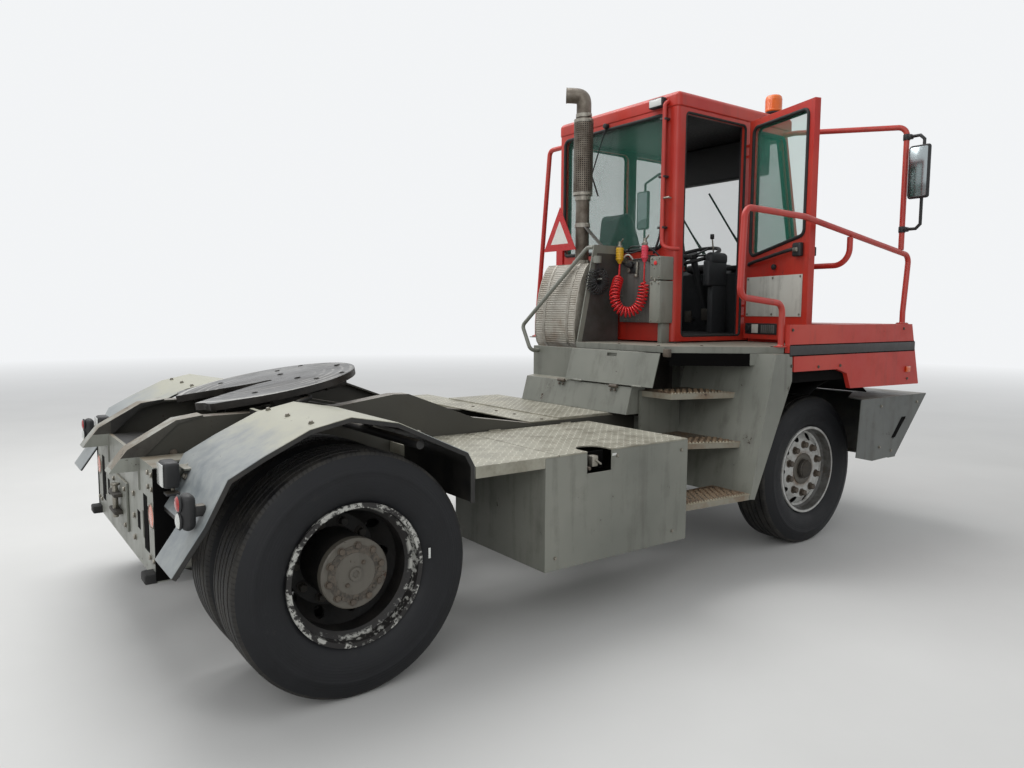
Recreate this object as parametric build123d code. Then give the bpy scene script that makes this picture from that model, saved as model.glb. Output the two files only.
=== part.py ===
from build123d import *
import math
import os

os.makedirs("parts", exist_ok=True)

# Terminal tractor, millimetres, +X forward, +Y left, +Z up.
# Lengths along X are first measured from the point midway between the axles,
# or from an axle where a piece belongs to it. Every piece is then moved back by
# middle_x, so that the frame's origin is on the ground below the middle.

# Wheels and axles
wheelbase = 3450
tyre_r = 510
tyre_half = 147
tread_half = 118
flange_r = 298
bead_r = flange_r - 12
rim_half = 117
rim_wall = 8
front_wheel_y = 905
rear_inner_y = 765
rear_outer_y = 1100
disc_r = bead_r - 86
hole_r = bead_r - 60
kingpin_y = 700
kingpin_r = 24
boss_r = 45
stub_r = 38
spindle_r = 62
front_x = wheelbase / 2
rear_x = -wheelbase / 2
wheel_z = tyre_r

# Clearances: a shaft in its bore, faces that rest on each other, a moving piece
run_gap = 0.06
seat_gap = 0.3
swing_gap = 5

# Chassis frame
rail_y = 430
rail_in = 350
rail_web = 10
rail_top_z = 920
rail_low_z = 640
rail_front_x = front_x + 715
rail_rear_x = rear_x - 647

# Widths and levels of the body
half_width = 1250
box_top_z = 900
upper_z = 1375
plate_t = 8
sheet_t = 5

# Cab and door
cab_rear_x = front_x - 745
cab_low_x = front_x + 845
cab_high_x = front_x + 470
cab_right_y = -430
cab_left_y = 800
cab_floor_z = 1385
cab_top_z = 2960
roof_top_z = 3060
wall_t = 50
post_round = 30
window_round = 45
floor_t = 35
door_front_x = front_x - 13
door_long = 680
door_thick = 45
door_low_z = 1400
door_top_z = 2950
door_open_deg = 72
door_pin_r = 6

# Lift boom, its cylinders and the coupling plate
boom_x = rear_x + 1375
boom_z = 800
boom_pin_r = 30
plate_x = rear_x + 75
plate_pivot_z = 1085
plate_top_z = 1210
plate_tilt_deg = 10
plate_r = 460
plate_thick = 36
jaw_r = 25.5
pivot_r = 25
cyl_y = 180
cyl_low_x = rear_x + 875
cyl_low_z = 505
cyl_eye_x = rear_x + 525
cyl_eye_z = 925
cyl_pin_r = 18
cyl_rod_r = 27
cyl_barrel_r = 46
cyl_cheek_y = cyl_barrel_r + 11

# Gearbox's rear end, and the frame's middle crossmember between it and the boom
gearbox_x = front_x - 1475
cross_x = (boom_x + gearbox_x) / 2

# Ends of the tractor, which give its middle
ramp_tip_x = rear_x - 775
bumper_tip_x = front_x + 1137
middle_x = (ramp_tip_x + bumper_tip_x) / 2


def save(shape, node):
    pieces = list(shape) if isinstance(shape, (list, ShapeList)) else [shape]
    moved = [Pos(-middle_x, 0, 0) * piece for piece in pieces]
    export_step(moved[0] if len(moved) == 1 else Compound(children=moved), "parts/" + node + ".step")


def bx(x0, x1, y0, y1, z0, z1, at=0):
    size = Box(abs(x1 - x0), abs(y1 - y0), abs(z1 - z0))
    return Pos(at + (x0 + x1) / 2, (y0 + y1) / 2, (z0 + z1) / 2) * size


def side(points, y0, y1, at=0):
    face = make_face(Polyline(*[(at + x, y0, z) for x, z in points], close=True))
    return extrude(face, amount=abs(y1 - y0), dir=(0, 1 if y1 > y0 else -1, 0))


def across(points, x0, x1):
    face = make_face(Polyline(*[(x0, y, z) for y, z in points], close=True))
    return extrude(face, amount=abs(x1 - x0), dir=(1 if x1 > x0 else -1, 0, 0))


def plan(points, z0, z1, at=0):
    face = make_face(Polyline(*[(at + x, y, z0) for x, y in points], close=True))
    return extrude(face, amount=abs(z1 - z0), dir=(0, 0, 1 if z1 > z0 else -1))


def rod(p0, p1, r):
    start = Vector(*p0)
    run = Vector(*p1) - start
    return extrude(Plane(origin=start, z_dir=run) * Circle(r), amount=run.length)


def tube(points, r, bend):
    path = FilletPolyline(*points, radius=bend)
    start = Plane(origin=path @ 0, z_dir=path % 0)
    return sweep(start * Circle(r), path=path)


def hoop(inner_r, outer_r, y0, y1, x, z):
    ring = Cylinder(outer_r, abs(y1 - y0))
    if inner_r > 0:
        ring -= Cylinder(inner_r, abs(y1 - y0) + 2)
    return Pos(x, (y0 + y1) / 2, z) * Rot(90, 0, 0) * ring


def spun(points):
    face = make_face(Polyline(*[(r, y, 0) for r, y in points], close=True))
    return revolve(face, axis=Axis.Y)


def left_of(shape):
    return shape.mirror(Plane.XZ)


def inset_path(points, depth):
    out = []
    for i, (x, z) in enumerate(points):
        dirs = []
        if i > 0:
            dirs.append((x - points[i - 1][0], z - points[i - 1][1]))
        if i < len(points) - 1:
            dirs.append((points[i + 1][0] - x, points[i + 1][1] - z))
        units = [(a / math.hypot(a, b), b / math.hypot(a, b)) for a, b in dirs]
        tx = sum(u[0] for u in units)
        tz = sum(u[1] for u in units)
        n = math.hypot(tx, tz)
        nx, nz = tz / n, -tx / n
        k = 1 / (nx * units[0][1] - nz * units[0][0]) if len(units) == 2 else 1
        out.append((x + nx * depth * k, z + nz * depth * k))
    return out


# Tyre section: radius, distance from the tyre's middle plane
def tyre(y_mid):
    half = [
        (bead_r + seat_gap, rim_half - 14), (flange_r + 4, rim_half - 14), (330, tyre_half - 19),
        (400, tyre_half), (452, tyre_half - 5), (tyre_r - 18, tread_half + 10),
        (tyre_r - 5, tread_half), (tyre_r, tread_half - 22)]
    loop = [(r, y_mid + y) for r, y in half] + [(r, y_mid - y) for r, y in reversed(half)]
    return spun(loop)


# Wheel: well with two flanges, and a disc from the well's wall to the hub
def rim(y_mid, hub_y, edge_y, edge_r, hub_r):
    bed = bead_r
    inside = bead_r - rim_wall
    bead_y = rim_half - 13
    loop = [
        (inside, y_mid - rim_half), (flange_r, y_mid - rim_half), (flange_r, y_mid - bead_y),
        (bed, y_mid - bead_y), (bed, y_mid - 60), (bed - 26, y_mid - 40), (bed - 26, y_mid + 40),
        (bed, y_mid + 60), (bed, y_mid + bead_y), (flange_r, y_mid + bead_y),
        (flange_r, y_mid + rim_half), (inside, y_mid + rim_half), (inside, y_mid + 62),
        (inside - 26, y_mid + 42), (inside - 26, y_mid - 42), (inside, y_mid - 62)]
    disc = [
        (hub_r - 6, hub_y), (disc_r, hub_y), (edge_r, edge_y), (edge_r, edge_y + 14),
        (disc_r, hub_y + 12), (hub_r - 6, hub_y + 12)]
    return spun(loop) + spun(disc)


def ring_rods(count, pitch_r, radius, y0, y1, turn=0):
    rods = []
    for i in range(count):
        a = math.radians(turn + i * 360 / count)
        x = pitch_r * math.cos(a)
        z = pitch_r * math.sin(a)
        rods.append(rod((x, y0, z), (x, y1, z), radius))
    return rods


# Front wheel with its hub, the disc near the outer flange
def front_wheel():
    y = front_wheel_y
    wheel = rim(y, y + 62, y + 20, bead_r - 30, 100)
    for hole in ring_rods(10, hole_r, 22, y, y + 110):
        wheel -= hole
    wheel += hoop(0, 105, y - 70, y + 76, 0, 0) + hoop(0, 62, y + 76, y + 104, 0, 0)
    wheel -= hoop(0, stub_r + run_gap, y - 80, y + 30, 0, 0)
    for nut in ring_rods(10, 168, 16, y + 70, y + 96, 18):
        wheel += nut
    return Pos(front_x, 0, wheel_z) * wheel


# Rear twin wheels, their discs bolted back to back, with the deep hub
def rear_wheels():
    mid_y = (rear_inner_y + rear_outer_y) / 2
    edge_r = bead_r - rim_wall / 2
    face_y = rear_outer_y + 80
    wheels = rim(rear_outer_y, mid_y + 1, rear_outer_y - 92, edge_r, 120)
    wheels += rim(rear_inner_y, mid_y - 13, rear_inner_y + 78, edge_r, 120)
    for hole in ring_rods(10, hole_r, 24, mid_y - 70, mid_y + 70):
        wheels -= hole
    wheels += hoop(0, 122, mid_y - 130, mid_y + 10, 0, 0)
    wheels += hoop(0, 141, mid_y + 10, face_y, 0, 0) + hoop(0, 118, face_y, face_y + 10, 0, 0)
    wheels -= hoop(0, spindle_r + run_gap, mid_y - 140, face_y - 60, 0, 0)
    for bolt in ring_rods(9, 108, 9, face_y - 2, face_y + 14):
        wheels += bolt
    return Pos(rear_x, 0, wheel_z) * wheels


front_tyre = Pos(front_x, 0, wheel_z) * tyre(front_wheel_y)
rear_tyres = [Pos(rear_x, 0, wheel_z) * tyre(y) for y in (rear_inner_y, rear_outer_y)]
front_rim = front_wheel()
rear_rims = rear_wheels()
save(front_rim, "front_rim_left")
save(left_of(front_rim), "front_rim_right")
save(front_tyre, "front_tyre_left")
save(left_of(front_tyre), "front_tyre_right")
save(rear_rims, "rear_rims_left")
save(left_of(rear_rims), "rear_rims_right")
save(rear_tyres, "rear_tyres_left")
save([left_of(t) for t in rear_tyres], "rear_tyres_right")


# Steering knuckle: two ears round the axle's end, the kingpin and the stub axle
def knuckle():
    ear_z = 62
    back_y = boss_r + 3
    piece = bx(-40, 40, kingpin_y + back_y, kingpin_y + back_y + 30,
               wheel_z - ear_z - 30, wheel_z + ear_z + 30, front_x)
    for low in (wheel_z + ear_z, wheel_z - ear_z - 30):
        piece += bx(-40, 40, kingpin_y - 40, kingpin_y + back_y + 1, low, low + 30, front_x)
    piece += rod((front_x, kingpin_y, wheel_z - ear_z - 10), (front_x, kingpin_y, wheel_z + ear_z + 10),
                 kingpin_r)
    piece += rod((front_x, kingpin_y + 60, wheel_z), (front_x, front_wheel_y + 20, wheel_z), stub_r)
    piece += bx(-190, -30, kingpin_y - 30, kingpin_y + 20, wheel_z - ear_z - 28, wheel_z - ear_z - 4,
                front_x)
    return piece


save(knuckle(), "knuckle_left")
save(left_of(knuckle()), "knuckle_right")

# Front axle: beam with an eye at each end, and its two leaf springs
leaf_end_z = wheel_z + 118
leaf = [
    (-700, leaf_end_z - 6), (-690, leaf_end_z), (-120, wheel_z + 58), (120, wheel_z + 58),
    (690, leaf_end_z), (700, leaf_end_z - 6), (120, wheel_z + 20), (-120, wheel_z + 20)]
axle = bx(-45, 45, -620, 620, wheel_z - 75, wheel_z + 20 - seat_gap, front_x)
springs = []
for s in (-1, 1):
    axle += bx(-45, 45, s * 600, s * (kingpin_y - 10), wheel_z - 58, wheel_z + 58, front_x)
    axle += rod((front_x, s * kingpin_y, wheel_z - 60), (front_x, s * kingpin_y, wheel_z + 60), boss_r)
    springs.append(side(leaf, s * (rail_in + 5), s * (rail_y - 5), front_x))
for s in (-1, 1):
    axle -= rod((front_x, s * kingpin_y, wheel_z - 70), (front_x, s * kingpin_y, wheel_z + 70),
                kingpin_r + run_gap)
save([axle, *springs], "front_axle")

# Rail outline: x and z of the top edge from the rear, then of the lower edge
rail_outer = [
    (rail_rear_x, 930), (rear_x - 495, 1075), (rear_x - 385, 1100), (rear_x + 275, 1105),
    (rear_x + 575, 1145), (rear_x + 665, 1142), (rear_x + 1075, 985),
    (rear_x + 1480, rail_top_z),
    (rail_front_x, rail_top_z), (rail_front_x, rail_low_z), (rear_x + 825, rail_low_z),
    (rear_x + 545, 800),
    (rail_rear_x, 800)]


def chassis_frame():
    flange = rail_web
    inner = [
        (rail_rear_x - 12, 920), (rear_x - 491, 1064), (rear_x - 383, 1090), (rear_x + 274, 1095),
        (rear_x + 574, 1135), (rear_x + 662, 1132), (rear_x + 1073, 975), (rear_x + 1479, rail_top_z - flange),
        (rail_front_x + 12, rail_top_z - flange), (rail_front_x + 12, rail_low_z + flange),
        (rear_x + 829, rail_low_z + flange), (rear_x + 549, 800 + flange), (rail_rear_x - 12, 800 + flange)]
    rail = side(rail_outer, rail_y, rail_in) - side(inner, rail_y - rail_web, rail_in - 5)
    web_y = rail_y - rail_web - seat_gap
    # Crossmembers: x0, x1, z0, z1
    crossmembers = [
        (front_x + 405, front_x + 525, 652, 908), (cross_x - 10, cross_x + 70, 770, 908),
        (rail_rear_x + seat_gap, rail_rear_x + 72, 812, 905)]
    pieces = [rail, left_of(rail)] + [bx(x0, x1, -web_y, web_y, z0, z1) for x0, x1, z0, z1 in crossmembers]
    carrier = bx(cyl_low_x + 60, cyl_low_x + 150, -web_y, web_y, rail_low_z + flange + seat_gap, 720)
    for s in (-1, 1):
        bracket = side([
            (-60, boom_z + 105), (60, boom_z + 105), (40, boom_z - 50), (-40, boom_z - 50)],
            s * 318, s * web_y, boom_x)
        bracket -= rod((boom_x, s * 300, boom_z), (boom_x, s * 440, boom_z), boom_pin_r + run_gap)
        pieces.append(bracket)
        for y in (cyl_y - cyl_cheek_y, cyl_y + cyl_cheek_y):
            carrier += side([
                (-50, rail_low_z + 20), (150, rail_low_z + 20), (150, rail_low_z - 10),
                (32, cyl_low_z - 32), (-32, cyl_low_z - 32)], s * (y - 8), s * (y + 8), cyl_low_x)
        carrier += rod((cyl_low_x, s * (cyl_y - cyl_cheek_y), cyl_low_z),
                       (cyl_low_x, s * (cyl_y + cyl_cheek_y), cyl_low_z), cyl_pin_r)
        pieces.append(bx(-60, 60, s * (rail_y - 4), s * rail_in, rail_low_z, 800 - seat_gap, rear_x))
        for x in (-685, 685):
            pieces.append(bx(x - 20, x + 20, s * rail_in, s * rail_y, leaf_end_z + seat_gap,
                             rail_low_z - seat_gap, front_x))
    return pieces + [carrier]


save(chassis_frame(), "chassis_frame")

# Propeller shaft's line, from the gearbox down to the rear axle's nose
shaft_front = Vector(gearbox_x, 0, 690)
shaft_rear = Vector(rear_x + 300, 0, wheel_z + 12)
shaft_way = (shaft_rear - shaft_front).normalized()


def on_shaft(start, distance):
    return tuple(start + shaft_way * distance)


# Rear axle: tube, round housing with its nose, spindles and spring seats
rear_axle = hoop(0, 88, -640, 640, rear_x, wheel_z) + hoop(0, 195, -85, 85, rear_x, wheel_z)
rear_axle += rod(on_shaft(shaft_rear, -60), on_shaft(shaft_rear, 230), 82)
for s in (-1, 1):
    rear_axle += hoop(0, spindle_r, s * 630, s * (rear_outer_y + 10), rear_x, wheel_z)
    rear_axle += bx(-60, 60, s * (rail_in + 5), s * (rail_y - 4), wheel_z + 60, rail_low_z - seat_gap, rear_x)
save(rear_axle, "rear_axle")
save(rod(on_shaft(shaft_front, 60 + seat_gap), on_shaft(shaft_rear, -60 - seat_gap), 45), "propeller_shaft")

# Engine and gearbox as plain blocks on their side brackets
engine_half = 300
engine = [
    bx(-825, 175, -engine_half, engine_half, 690, 1290, front_x),
    bx(gearbox_x, front_x - 825 - seat_gap, -190, 190, 600, 900),
    rod(on_shaft(shaft_front, 7), on_shaft(shaft_front, 60), 60)]
for s in (-1, 1):
    engine.append(bx(-425, -365, s * (engine_half + seat_gap), s * (rail_y - rail_web - seat_gap), 700, 760,
                     front_x))
save(engine, "engine_block")


# Rear crossmember with its slotted face, and the guide ramps on the rails' ends
def rear_crossmember():
    face_x = rail_rear_x - 8 - seat_gap
    wide = 720
    narrow = 600
    top_z = 945
    low_z = 470
    beam = bx(face_x, face_x + 8, -wide, wide, low_z, top_z)
    for z in (low_z, top_z - 8):
        beam += bx(face_x, face_x + 80, -wide, wide, z, z + 8)
        beam += bx(face_x, face_x + 190, -narrow, narrow, z, z + 8)
    for s in (-1, 1):
        beam -= bx(face_x - 20, face_x + 280, s * 326, s * 444, 800, 990)
        for y0, z0, z1 in ((560, 560, 760), (470, 600, 720)):
            beam -= bx(face_x - 5, face_x + 20, s * y0, s * (y0 + 40), z0, z1)
        beam += side([(6, 476), (150, 600), (150, 700), (6, 800)], s * 500, s * 508, face_x)
        beam += bx(face_x - 40, face_x, s * 640, s * 716, low_z, low_z + 30)
    return beam


ramp_line = [
    (-775, 884), (-760, 905), (-700, 980), (-500, 1093), (-385, 1108), (-385, 1101), (-494, 1076.3),
    (-647.3, 931), (-647.3, 800), (-662, 800), (-662, 884)]
ramp = side(ramp_line, rail_y + 8, rail_in - 18, rear_x)
save([rear_crossmember(), ramp, left_of(ramp)], "rear_crossmember")

# Rear mudguard: x from the axle and z along its bent sheet, rear end first
guard_line = [
    (-715, 650), (-600, 815), (-515, 975), (-385, 1045), (-205, 1130), (-35, 1165), (175, 1125),
    (510, 968), (545, 905), (545, 740)]


def mudguard():
    guard = side(guard_line + inset_path(guard_line, 12)[::-1], 620, half_width, rear_x)
    lip = side(guard_line + inset_path(guard_line, 22)[::-1], half_width - 8, half_width, rear_x)
    guard += lip
    guard -= bx(-780, -620, 600, 990, 600, 800, rear_x)
    # Brackets under the sheet: x0, z0, z1
    brackets = [(-175, 1060, 1123.5), (305, 1000, 1041)]
    return [guard] + [bx(x, x + 20, rail_y + seat_gap, 700, z0, z1, rear_x) for x, z0, z1 in brackets]


save(mudguard(), "mudguard_left")
save([left_of(piece) for piece in mudguard()], "mudguard_right")

# Lift boom: two arms, cross tubes, the cylinders' pin and the coupling's pin
arm_line = [
    (boom_x + 60, boom_z - 20), (boom_x + 45, boom_z + 50), (boom_x - 60, boom_z + 75),
    (plate_x + 150, plate_pivot_z + 22), (plate_x + 45, plate_pivot_z + 45),
    (plate_x - 50, plate_pivot_z + 20), (plate_x - 50, plate_pivot_z - 35),
    (plate_x + 60, plate_pivot_z - 70), (boom_x - 120, boom_z - 55), (boom_x + 30, boom_z - 55)]
arm_in = 232
arm_out = 262
boom = side(arm_line, arm_in, arm_out) + side(arm_line, -arm_in, -arm_out)
boom += bx(boom_x - 620, boom_x - 500, -arm_in - 8, arm_in + 8, 850, 960)
boom += bx(plate_x + 100, plate_x + 260, -arm_in - 8, arm_in + 8, 1020, 1070)
for x, z, r, reach in (
        (boom_x, boom_z, 48, 312), (boom_x, boom_z, boom_pin_r, rail_y - 10),
        (plate_x, plate_pivot_z, pivot_r, rail_in - 5), (cyl_eye_x, cyl_eye_z, cyl_pin_r, arm_out + 20)):
    boom += rod((x, -reach, z), (x, reach, z), r)
save(boom, "lift_boom")

# Lifting cylinders: the barrels pivot on the frame, each rod ends in a wide eye
lift_len = math.hypot(cyl_eye_x - cyl_low_x, cyl_eye_z - cyl_low_z)
lift_way = Vector(cyl_eye_x - cyl_low_x, 0, cyl_eye_z - cyl_low_z).normalized()
barrel_end = 400
eye_r = 46


def on_cylinder(distance, y):
    return tuple(Vector(cyl_low_x, y, cyl_low_z) + lift_way * distance)


barrels = []
cylinder_rods = []
for y in (-cyl_y, cyl_y):
    barrel = rod(on_cylinder(24, y), on_cylinder(barrel_end, y), cyl_barrel_r)
    barrel += hoop(0, 34, y - cyl_cheek_y + 14, y + cyl_cheek_y - 14, cyl_low_x, cyl_low_z)
    barrel -= hoop(0, cyl_pin_r + run_gap, y - 60, y + 60, cyl_low_x, cyl_low_z)
    barrel -= rod(on_cylinder(60, y), on_cylinder(barrel_end + 10, y), cyl_rod_r + run_gap)
    barrels.append(barrel)
    shank = rod(on_cylinder(75, y), on_cylinder(lift_len - 38, y), cyl_rod_r)
    shank += hoop(0, eye_r, y - 25, y + 25, cyl_eye_x, cyl_eye_z)
    shank -= hoop(0, cyl_pin_r + 14, y - 40, y + 40, cyl_eye_x, cyl_eye_z)
    cylinder_rods.append(shank)
save(barrels, "lift_cylinder_barrels")
save(cylinder_rods, "lift_cylinder_rods")


# Coupling plate: round front, throat between two horns, tilted back on its pivot
def coupling_plate():
    t = plate_thick / 2
    drop = plate_top_z - plate_pivot_z
    plate = Cylinder(plate_r, plate_thick) & Box(2 * plate_r, 2 * plate_r, 60)
    horn = plan([
        (60, -452), (-180, -424), (-318, -352), (-358, -336), (-382, -312), (-388, -280), (-388, -203),
        (-30, -24), (60, -24)], -t, t)
    edge = [(-500, -352), (-318, -352), (-180, -430), (-100, -460), (-100, -600), (-500, -600)]
    plate += horn + left_of(horn)
    plate -= plan([
        (-500, -225), (-60, -jaw_r), (0, -jaw_r), (0, jaw_r), (-60, jaw_r), (-500, 225)], -40, 40)
    plate -= plan(edge, -40, 40) + left_of(plan(edge, -40, 40))
    plate -= Cylinder(jaw_r, 90)
    plate = Pos(0, 0, -t) * plate
    ear_top = -plate_thick - seat_gap
    ear = [(-110, ear_top), (110, ear_top), (45, -drop - 40), (-45, -drop - 40)]
    pieces = [plate]
    for s in (-1, 1):
        pieces.append(bx(-330, 330, s * 180, s * 196, -70, ear_top))
        bracket = side(ear, s * (arm_out + 13), s * (rail_in - 15))
        pieces.append(bracket - rod((0, s * 250, -drop), (0, s * 360, -drop), pivot_r + run_gap))
    pieces.append(bx(120, 136, seat_gap - 180, 180 - seat_gap, -70, ear_top))
    tilted = Pos(plate_x, 0, plate_pivot_z) * Rot(0, -plate_tilt_deg, 0) * Pos(0, 0, drop)
    return [tilted * piece for piece in pieces]


save(coupling_plate(), "coupling_plate")

# Right side box, open on top, with its lid
box_x0 = rear_x + 943
box_x1 = front_x - 1512
box_low_z = 339
box_in = -452
notch_x0 = box_x0 + 262
notch_x1 = box_x0 + 424
lid_t = 7.7
hinge_r = 6
rim_z = box_top_z - lid_t - seat_gap
box = bx(box_x0, box_x1, -half_width, box_in, box_low_z, rim_z)
box -= bx(box_x0 + sheet_t, box_x1 - sheet_t, -half_width + sheet_t, box_in - sheet_t,
          box_low_z + sheet_t, box_top_z)
box -= bx(notch_x0, notch_x1, -half_width - 5, -half_width + 20, 790, box_top_z)
for x in (box_x0 + 180, box_x1 - 180):
    box += bx(x - 25, x + 25, box_in - 1, -rail_y - seat_gap, 700, 860)
save(box, "side_box_right")
lid_x0 = box_x0 + 82
lid = bx(lid_x0 + swing_gap, box_x1 - swing_gap, -half_width, box_in + 10, box_top_z - lid_t, box_top_z)
lid -= bx(notch_x0, notch_x1, -half_width - 5, -half_width + 60, box_top_z - 30, box_top_z + 30)
lid -= Pos((notch_x0 + notch_x1) / 2, -half_width + 60, box_top_z) * Cylinder((notch_x1 - notch_x0) / 2, 60)
for x in (lid_x0 + 150, box_x1 - 230):
    lid += rod((x, box_in + 10, box_top_z), (x + 80, box_in + 10, box_top_z), hinge_r)
save(lid, "side_box_lid")

# Fuel tank on the left side, hung on two brackets
tank = bx(box_x0, box_x1 - 123, -box_in, 1240, 400, box_top_z)
tank = fillet(tank.edges().filter_by(Axis.X), 40)
for x in (box_x0 + 182, box_x1 - 313):
    tank += bx(x - 25, x + 25, rail_y + seat_gap, 500, 700, 860)
save(tank, "fuel_tank_left")

# Plates underfoot: the ledge with its folded edges, and the walkway over the rails
ledge_x = rear_x + 550
ledge = bx(ledge_x, lid_x0, -half_width, -rail_y - seat_gap, box_top_z - lid_t, box_top_z)
ledge += bx(ledge_x, box_x0 - 1, -half_width, -half_width + sheet_t, box_top_z - 55, box_top_z)
ledge += bx(ledge_x, ledge_x + 8, -half_width, -rail_y - seat_gap, box_top_z - 55, box_top_z)
walk_z = rail_top_z + seat_gap
walk_x0 = rear_x + 1485
walkway = bx(walk_x0, front_x - 1705, -rail_y, 1240, walk_z, walk_z + plate_t)
walkway += bx(front_x - 1745, front_x - 1295, -rail_y, 860, walk_z, walk_z + 18)
walkway += bx(box_x0, walk_x0 + 8, rail_y + seat_gap, 1240, box_top_z + seat_gap, box_top_z + plate_t)
walkway += bx(walk_x0, walk_x0 + 8, rail_y + seat_gap, 1240, box_top_z + seat_gap, walk_z + plate_t)
save([ledge, walkway], "deck_plates")


# Steps: closed wedge behind the wheel, its back plate and three treads
def steps():
    top_z = upper_z - 40 - seat_gap
    back_y = -592
    wedge = [
        (-948, 478), (-903, 470), (-571, 1168), (-577, top_z), (-740, top_z)]
    back = [
        (-1506, 480), (-865, 480), (-865, 1090), (-1225, 1090), (-1225, 800), (-1506, 800)]
    # Tread outlines: x from the front axle and y, with the level of the top
    treads = [
        (510, [(-1506, -1200), (-935, -1245), (-935, -960), (-1506, -960)]),
        (800, [(-1506, -835), (-865, -1118), (-865, -600), (-1506, -600)]),
        (1090, [(-1225, back_y), (-1219, -860), (-795, -1010), (-795, back_y)])]
    piece = side(wedge, -half_width, -560, front_x)
    piece += side(back, back_y, back_y - 20, front_x)
    for top, outline in treads:
        piece += plan(outline, top - 36, top, front_x)
    for x in (-1100, -900):
        piece += bx(x, x + 60, back_y - 2, -rail_y - seat_gap, 650, 900, front_x)
    return piece


save(steps(), "steps_right")

# Housing under the upper deck with the fixed lower panel, and the flap above it
house_z = walk_z + 18 + seat_gap
house_top = upper_z - 40 - seat_gap
flap_x = front_x - 1295
flap_z = 1122
house_out = [
    (-1333, house_z), (-1285, flap_z - 10), (-1225, flap_z - 2), (-1225, house_top), (-1165, house_top),
    (-1165, house_z)]
house_in = [
    (-1323, house_z - 10), (-1275, flap_z - 18), (-1217, flap_z - 10), (-1217, house_top + 5),
    (-1155, house_top + 5), (-1155, house_z - 10)]
housing = side(house_out, -588, 500, front_x) - side(house_in, -578, 490, front_x)
save(housing, "deck_housing")
flap = side([(0, flap_z), (62, 1332), (69.7, 1332), (7, flap_z)], -770, 50, flap_x)
flap -= bx(-30, 130, -400, -310, 1296, 1318, flap_x)
for y in (-640, -80):
    flap += rod((flap_x, y - 40, flap_z), (flap_x, y + 40, flap_z), hinge_r)
save(flap, "deck_flap")


# Upper deck beside and behind the cab, left open for the silencer
def upper_deck():
    edge_z = upper_z - 40
    outer = half_width - 35
    deck = plan([
        (-1195, 60), (-1195, -775), (-615, -outer), (35, -outer), (35, -440), (835, -440), (835, 1200),
        (-725, 1200), (-795, 60)], upper_z - plate_t, upper_z, front_x)
    deck += plan([
        (-1195, 60), (-1195, -775), (-615, -outer), (-615, 10 - outer), (-1187, -767), (-1187, 60)],
        edge_z, upper_z, front_x)
    deck += plan([(-1020, -900), (-775, -1080), (-775, -1072), (-1020, -890)], 1262, upper_z, front_x)
    legs = []
    for x in (-650, 700):
        for y in (-340, 700):
            legs.append(Pos(front_x + x, y, (upper_z + cab_floor_z) / 2) * Cylinder(
                60, cab_floor_z - upper_z - 2 * seat_gap))
    for s in (-1, 1):
        for x in (-650, 400):
            legs.append(bx(x, x + 40, s * rail_in, s * (rail_y - 10), rail_top_z + seat_gap,
                           upper_z - plate_t - seat_gap, front_x))
    return [deck, *legs]


save(upper_deck(), "upper_deck")

# Front bodies: side panel with the wheel's arch, closed top and sloping nose
body_top = 1512
nose_low = 1075
nose_slope = 0.302
door_wall_x = 62
body_side = [
    (-613, body_top), (875, body_top), (1007, nose_low), (90, 1088), (40, 1190), (-75, 1222),
    (-555, 1222), (-563, upper_z - 35), (-613, upper_z - 35)]
nose = [(875, body_top), (1007, nose_low), (975, nose_low), (845, body_top)]
body_r = side(body_side, -half_width, -half_width + 30, front_x)
body_r += bx(door_wall_x, 870, -half_width + 20, cab_right_y - 15, body_top - 30, body_top, front_x)
body_r += bx(door_wall_x, door_wall_x + 30, -half_width + 20, cab_right_y - 15, upper_z + seat_gap, body_top,
             front_x)
body_r += side(nose, -half_width, cab_right_y - 15, front_x)
save(body_r, "front_body_right")
body_l = side(body_side, half_width, half_width - 30, front_x)
body_l += bx(-613, 870, cab_left_y + 15, half_width - 20, body_top - 30, body_top, front_x)
body_l += bx(-613, -583, cab_left_y + 15, half_width - 40, upper_z + seat_gap, body_top, front_x)
body_l += bx(-613, 840, cab_left_y + 15, cab_left_y + 45, upper_z + seat_gap, body_top, front_x)
body_l += side(nose, half_width, cab_left_y + 15, front_x)
save(body_l, "front_body_left")


def nose_x(z):
    return 875 + (body_top - z) * nose_slope


grille_low = 1040
grille = side([
    (nose_x(1384) - 32, 1384), (nose_x(1384), 1384), (nose_x(grille_low), grille_low),
    (nose_x(grille_low) - 32, grille_low)], cab_right_y - 15 + seat_gap, cab_left_y + 15 - seat_gap, front_x)
for i in range(6):
    grille -= bx(775, 1100, -360, 730, 1075 + 48 * i, 1098 + 48 * i, front_x)
save(grille, "front_grille")


# Bumper: folded shell, its lower front edge slanting up to the tip
def front_bumper():
    tip = bumper_tip_x - front_x
    line = [(240, 1000), (tip, 992), (727, 568), (415, 560), (205, 604)]
    skin = 6
    shell = side(line, -half_width, -half_width + skin, front_x)
    shell += side(line, half_width, half_width - skin, front_x)
    shell += side([(tip, 992), (727, 568), (711, 568), (tip - 16, 992)], -half_width, half_width, front_x)
    shell += bx(635, 727, -half_width, half_width, 560, 568, front_x)
    shell += plan([
        (275, -half_width), (tip - 2, -half_width), (tip - 2, half_width), (275, half_width),
        (365, 1080), (740, 900), (740, -900), (365, -1080)], 990, 998, front_x)
    for s in (-1, 1):
        shell -= side([
            (675, 700), (687, 690), (853, 830), (841, 840)], s * (half_width + 5), s * (half_width - 12),
            front_x)
        shell += bx(715 + seat_gap, 806, s * rail_in, s * (rail_y - 5), 640, 700, front_x)
    return shell


save(front_bumper(), "front_bumper")


# Cab shell: floor, walls and pillars in one, with the windows and doorway cut
def windscreen_x(z):
    return cab_low_x + (cab_high_x - cab_low_x) * (z - cab_floor_z) / (cab_top_z - cab_floor_z)


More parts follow.
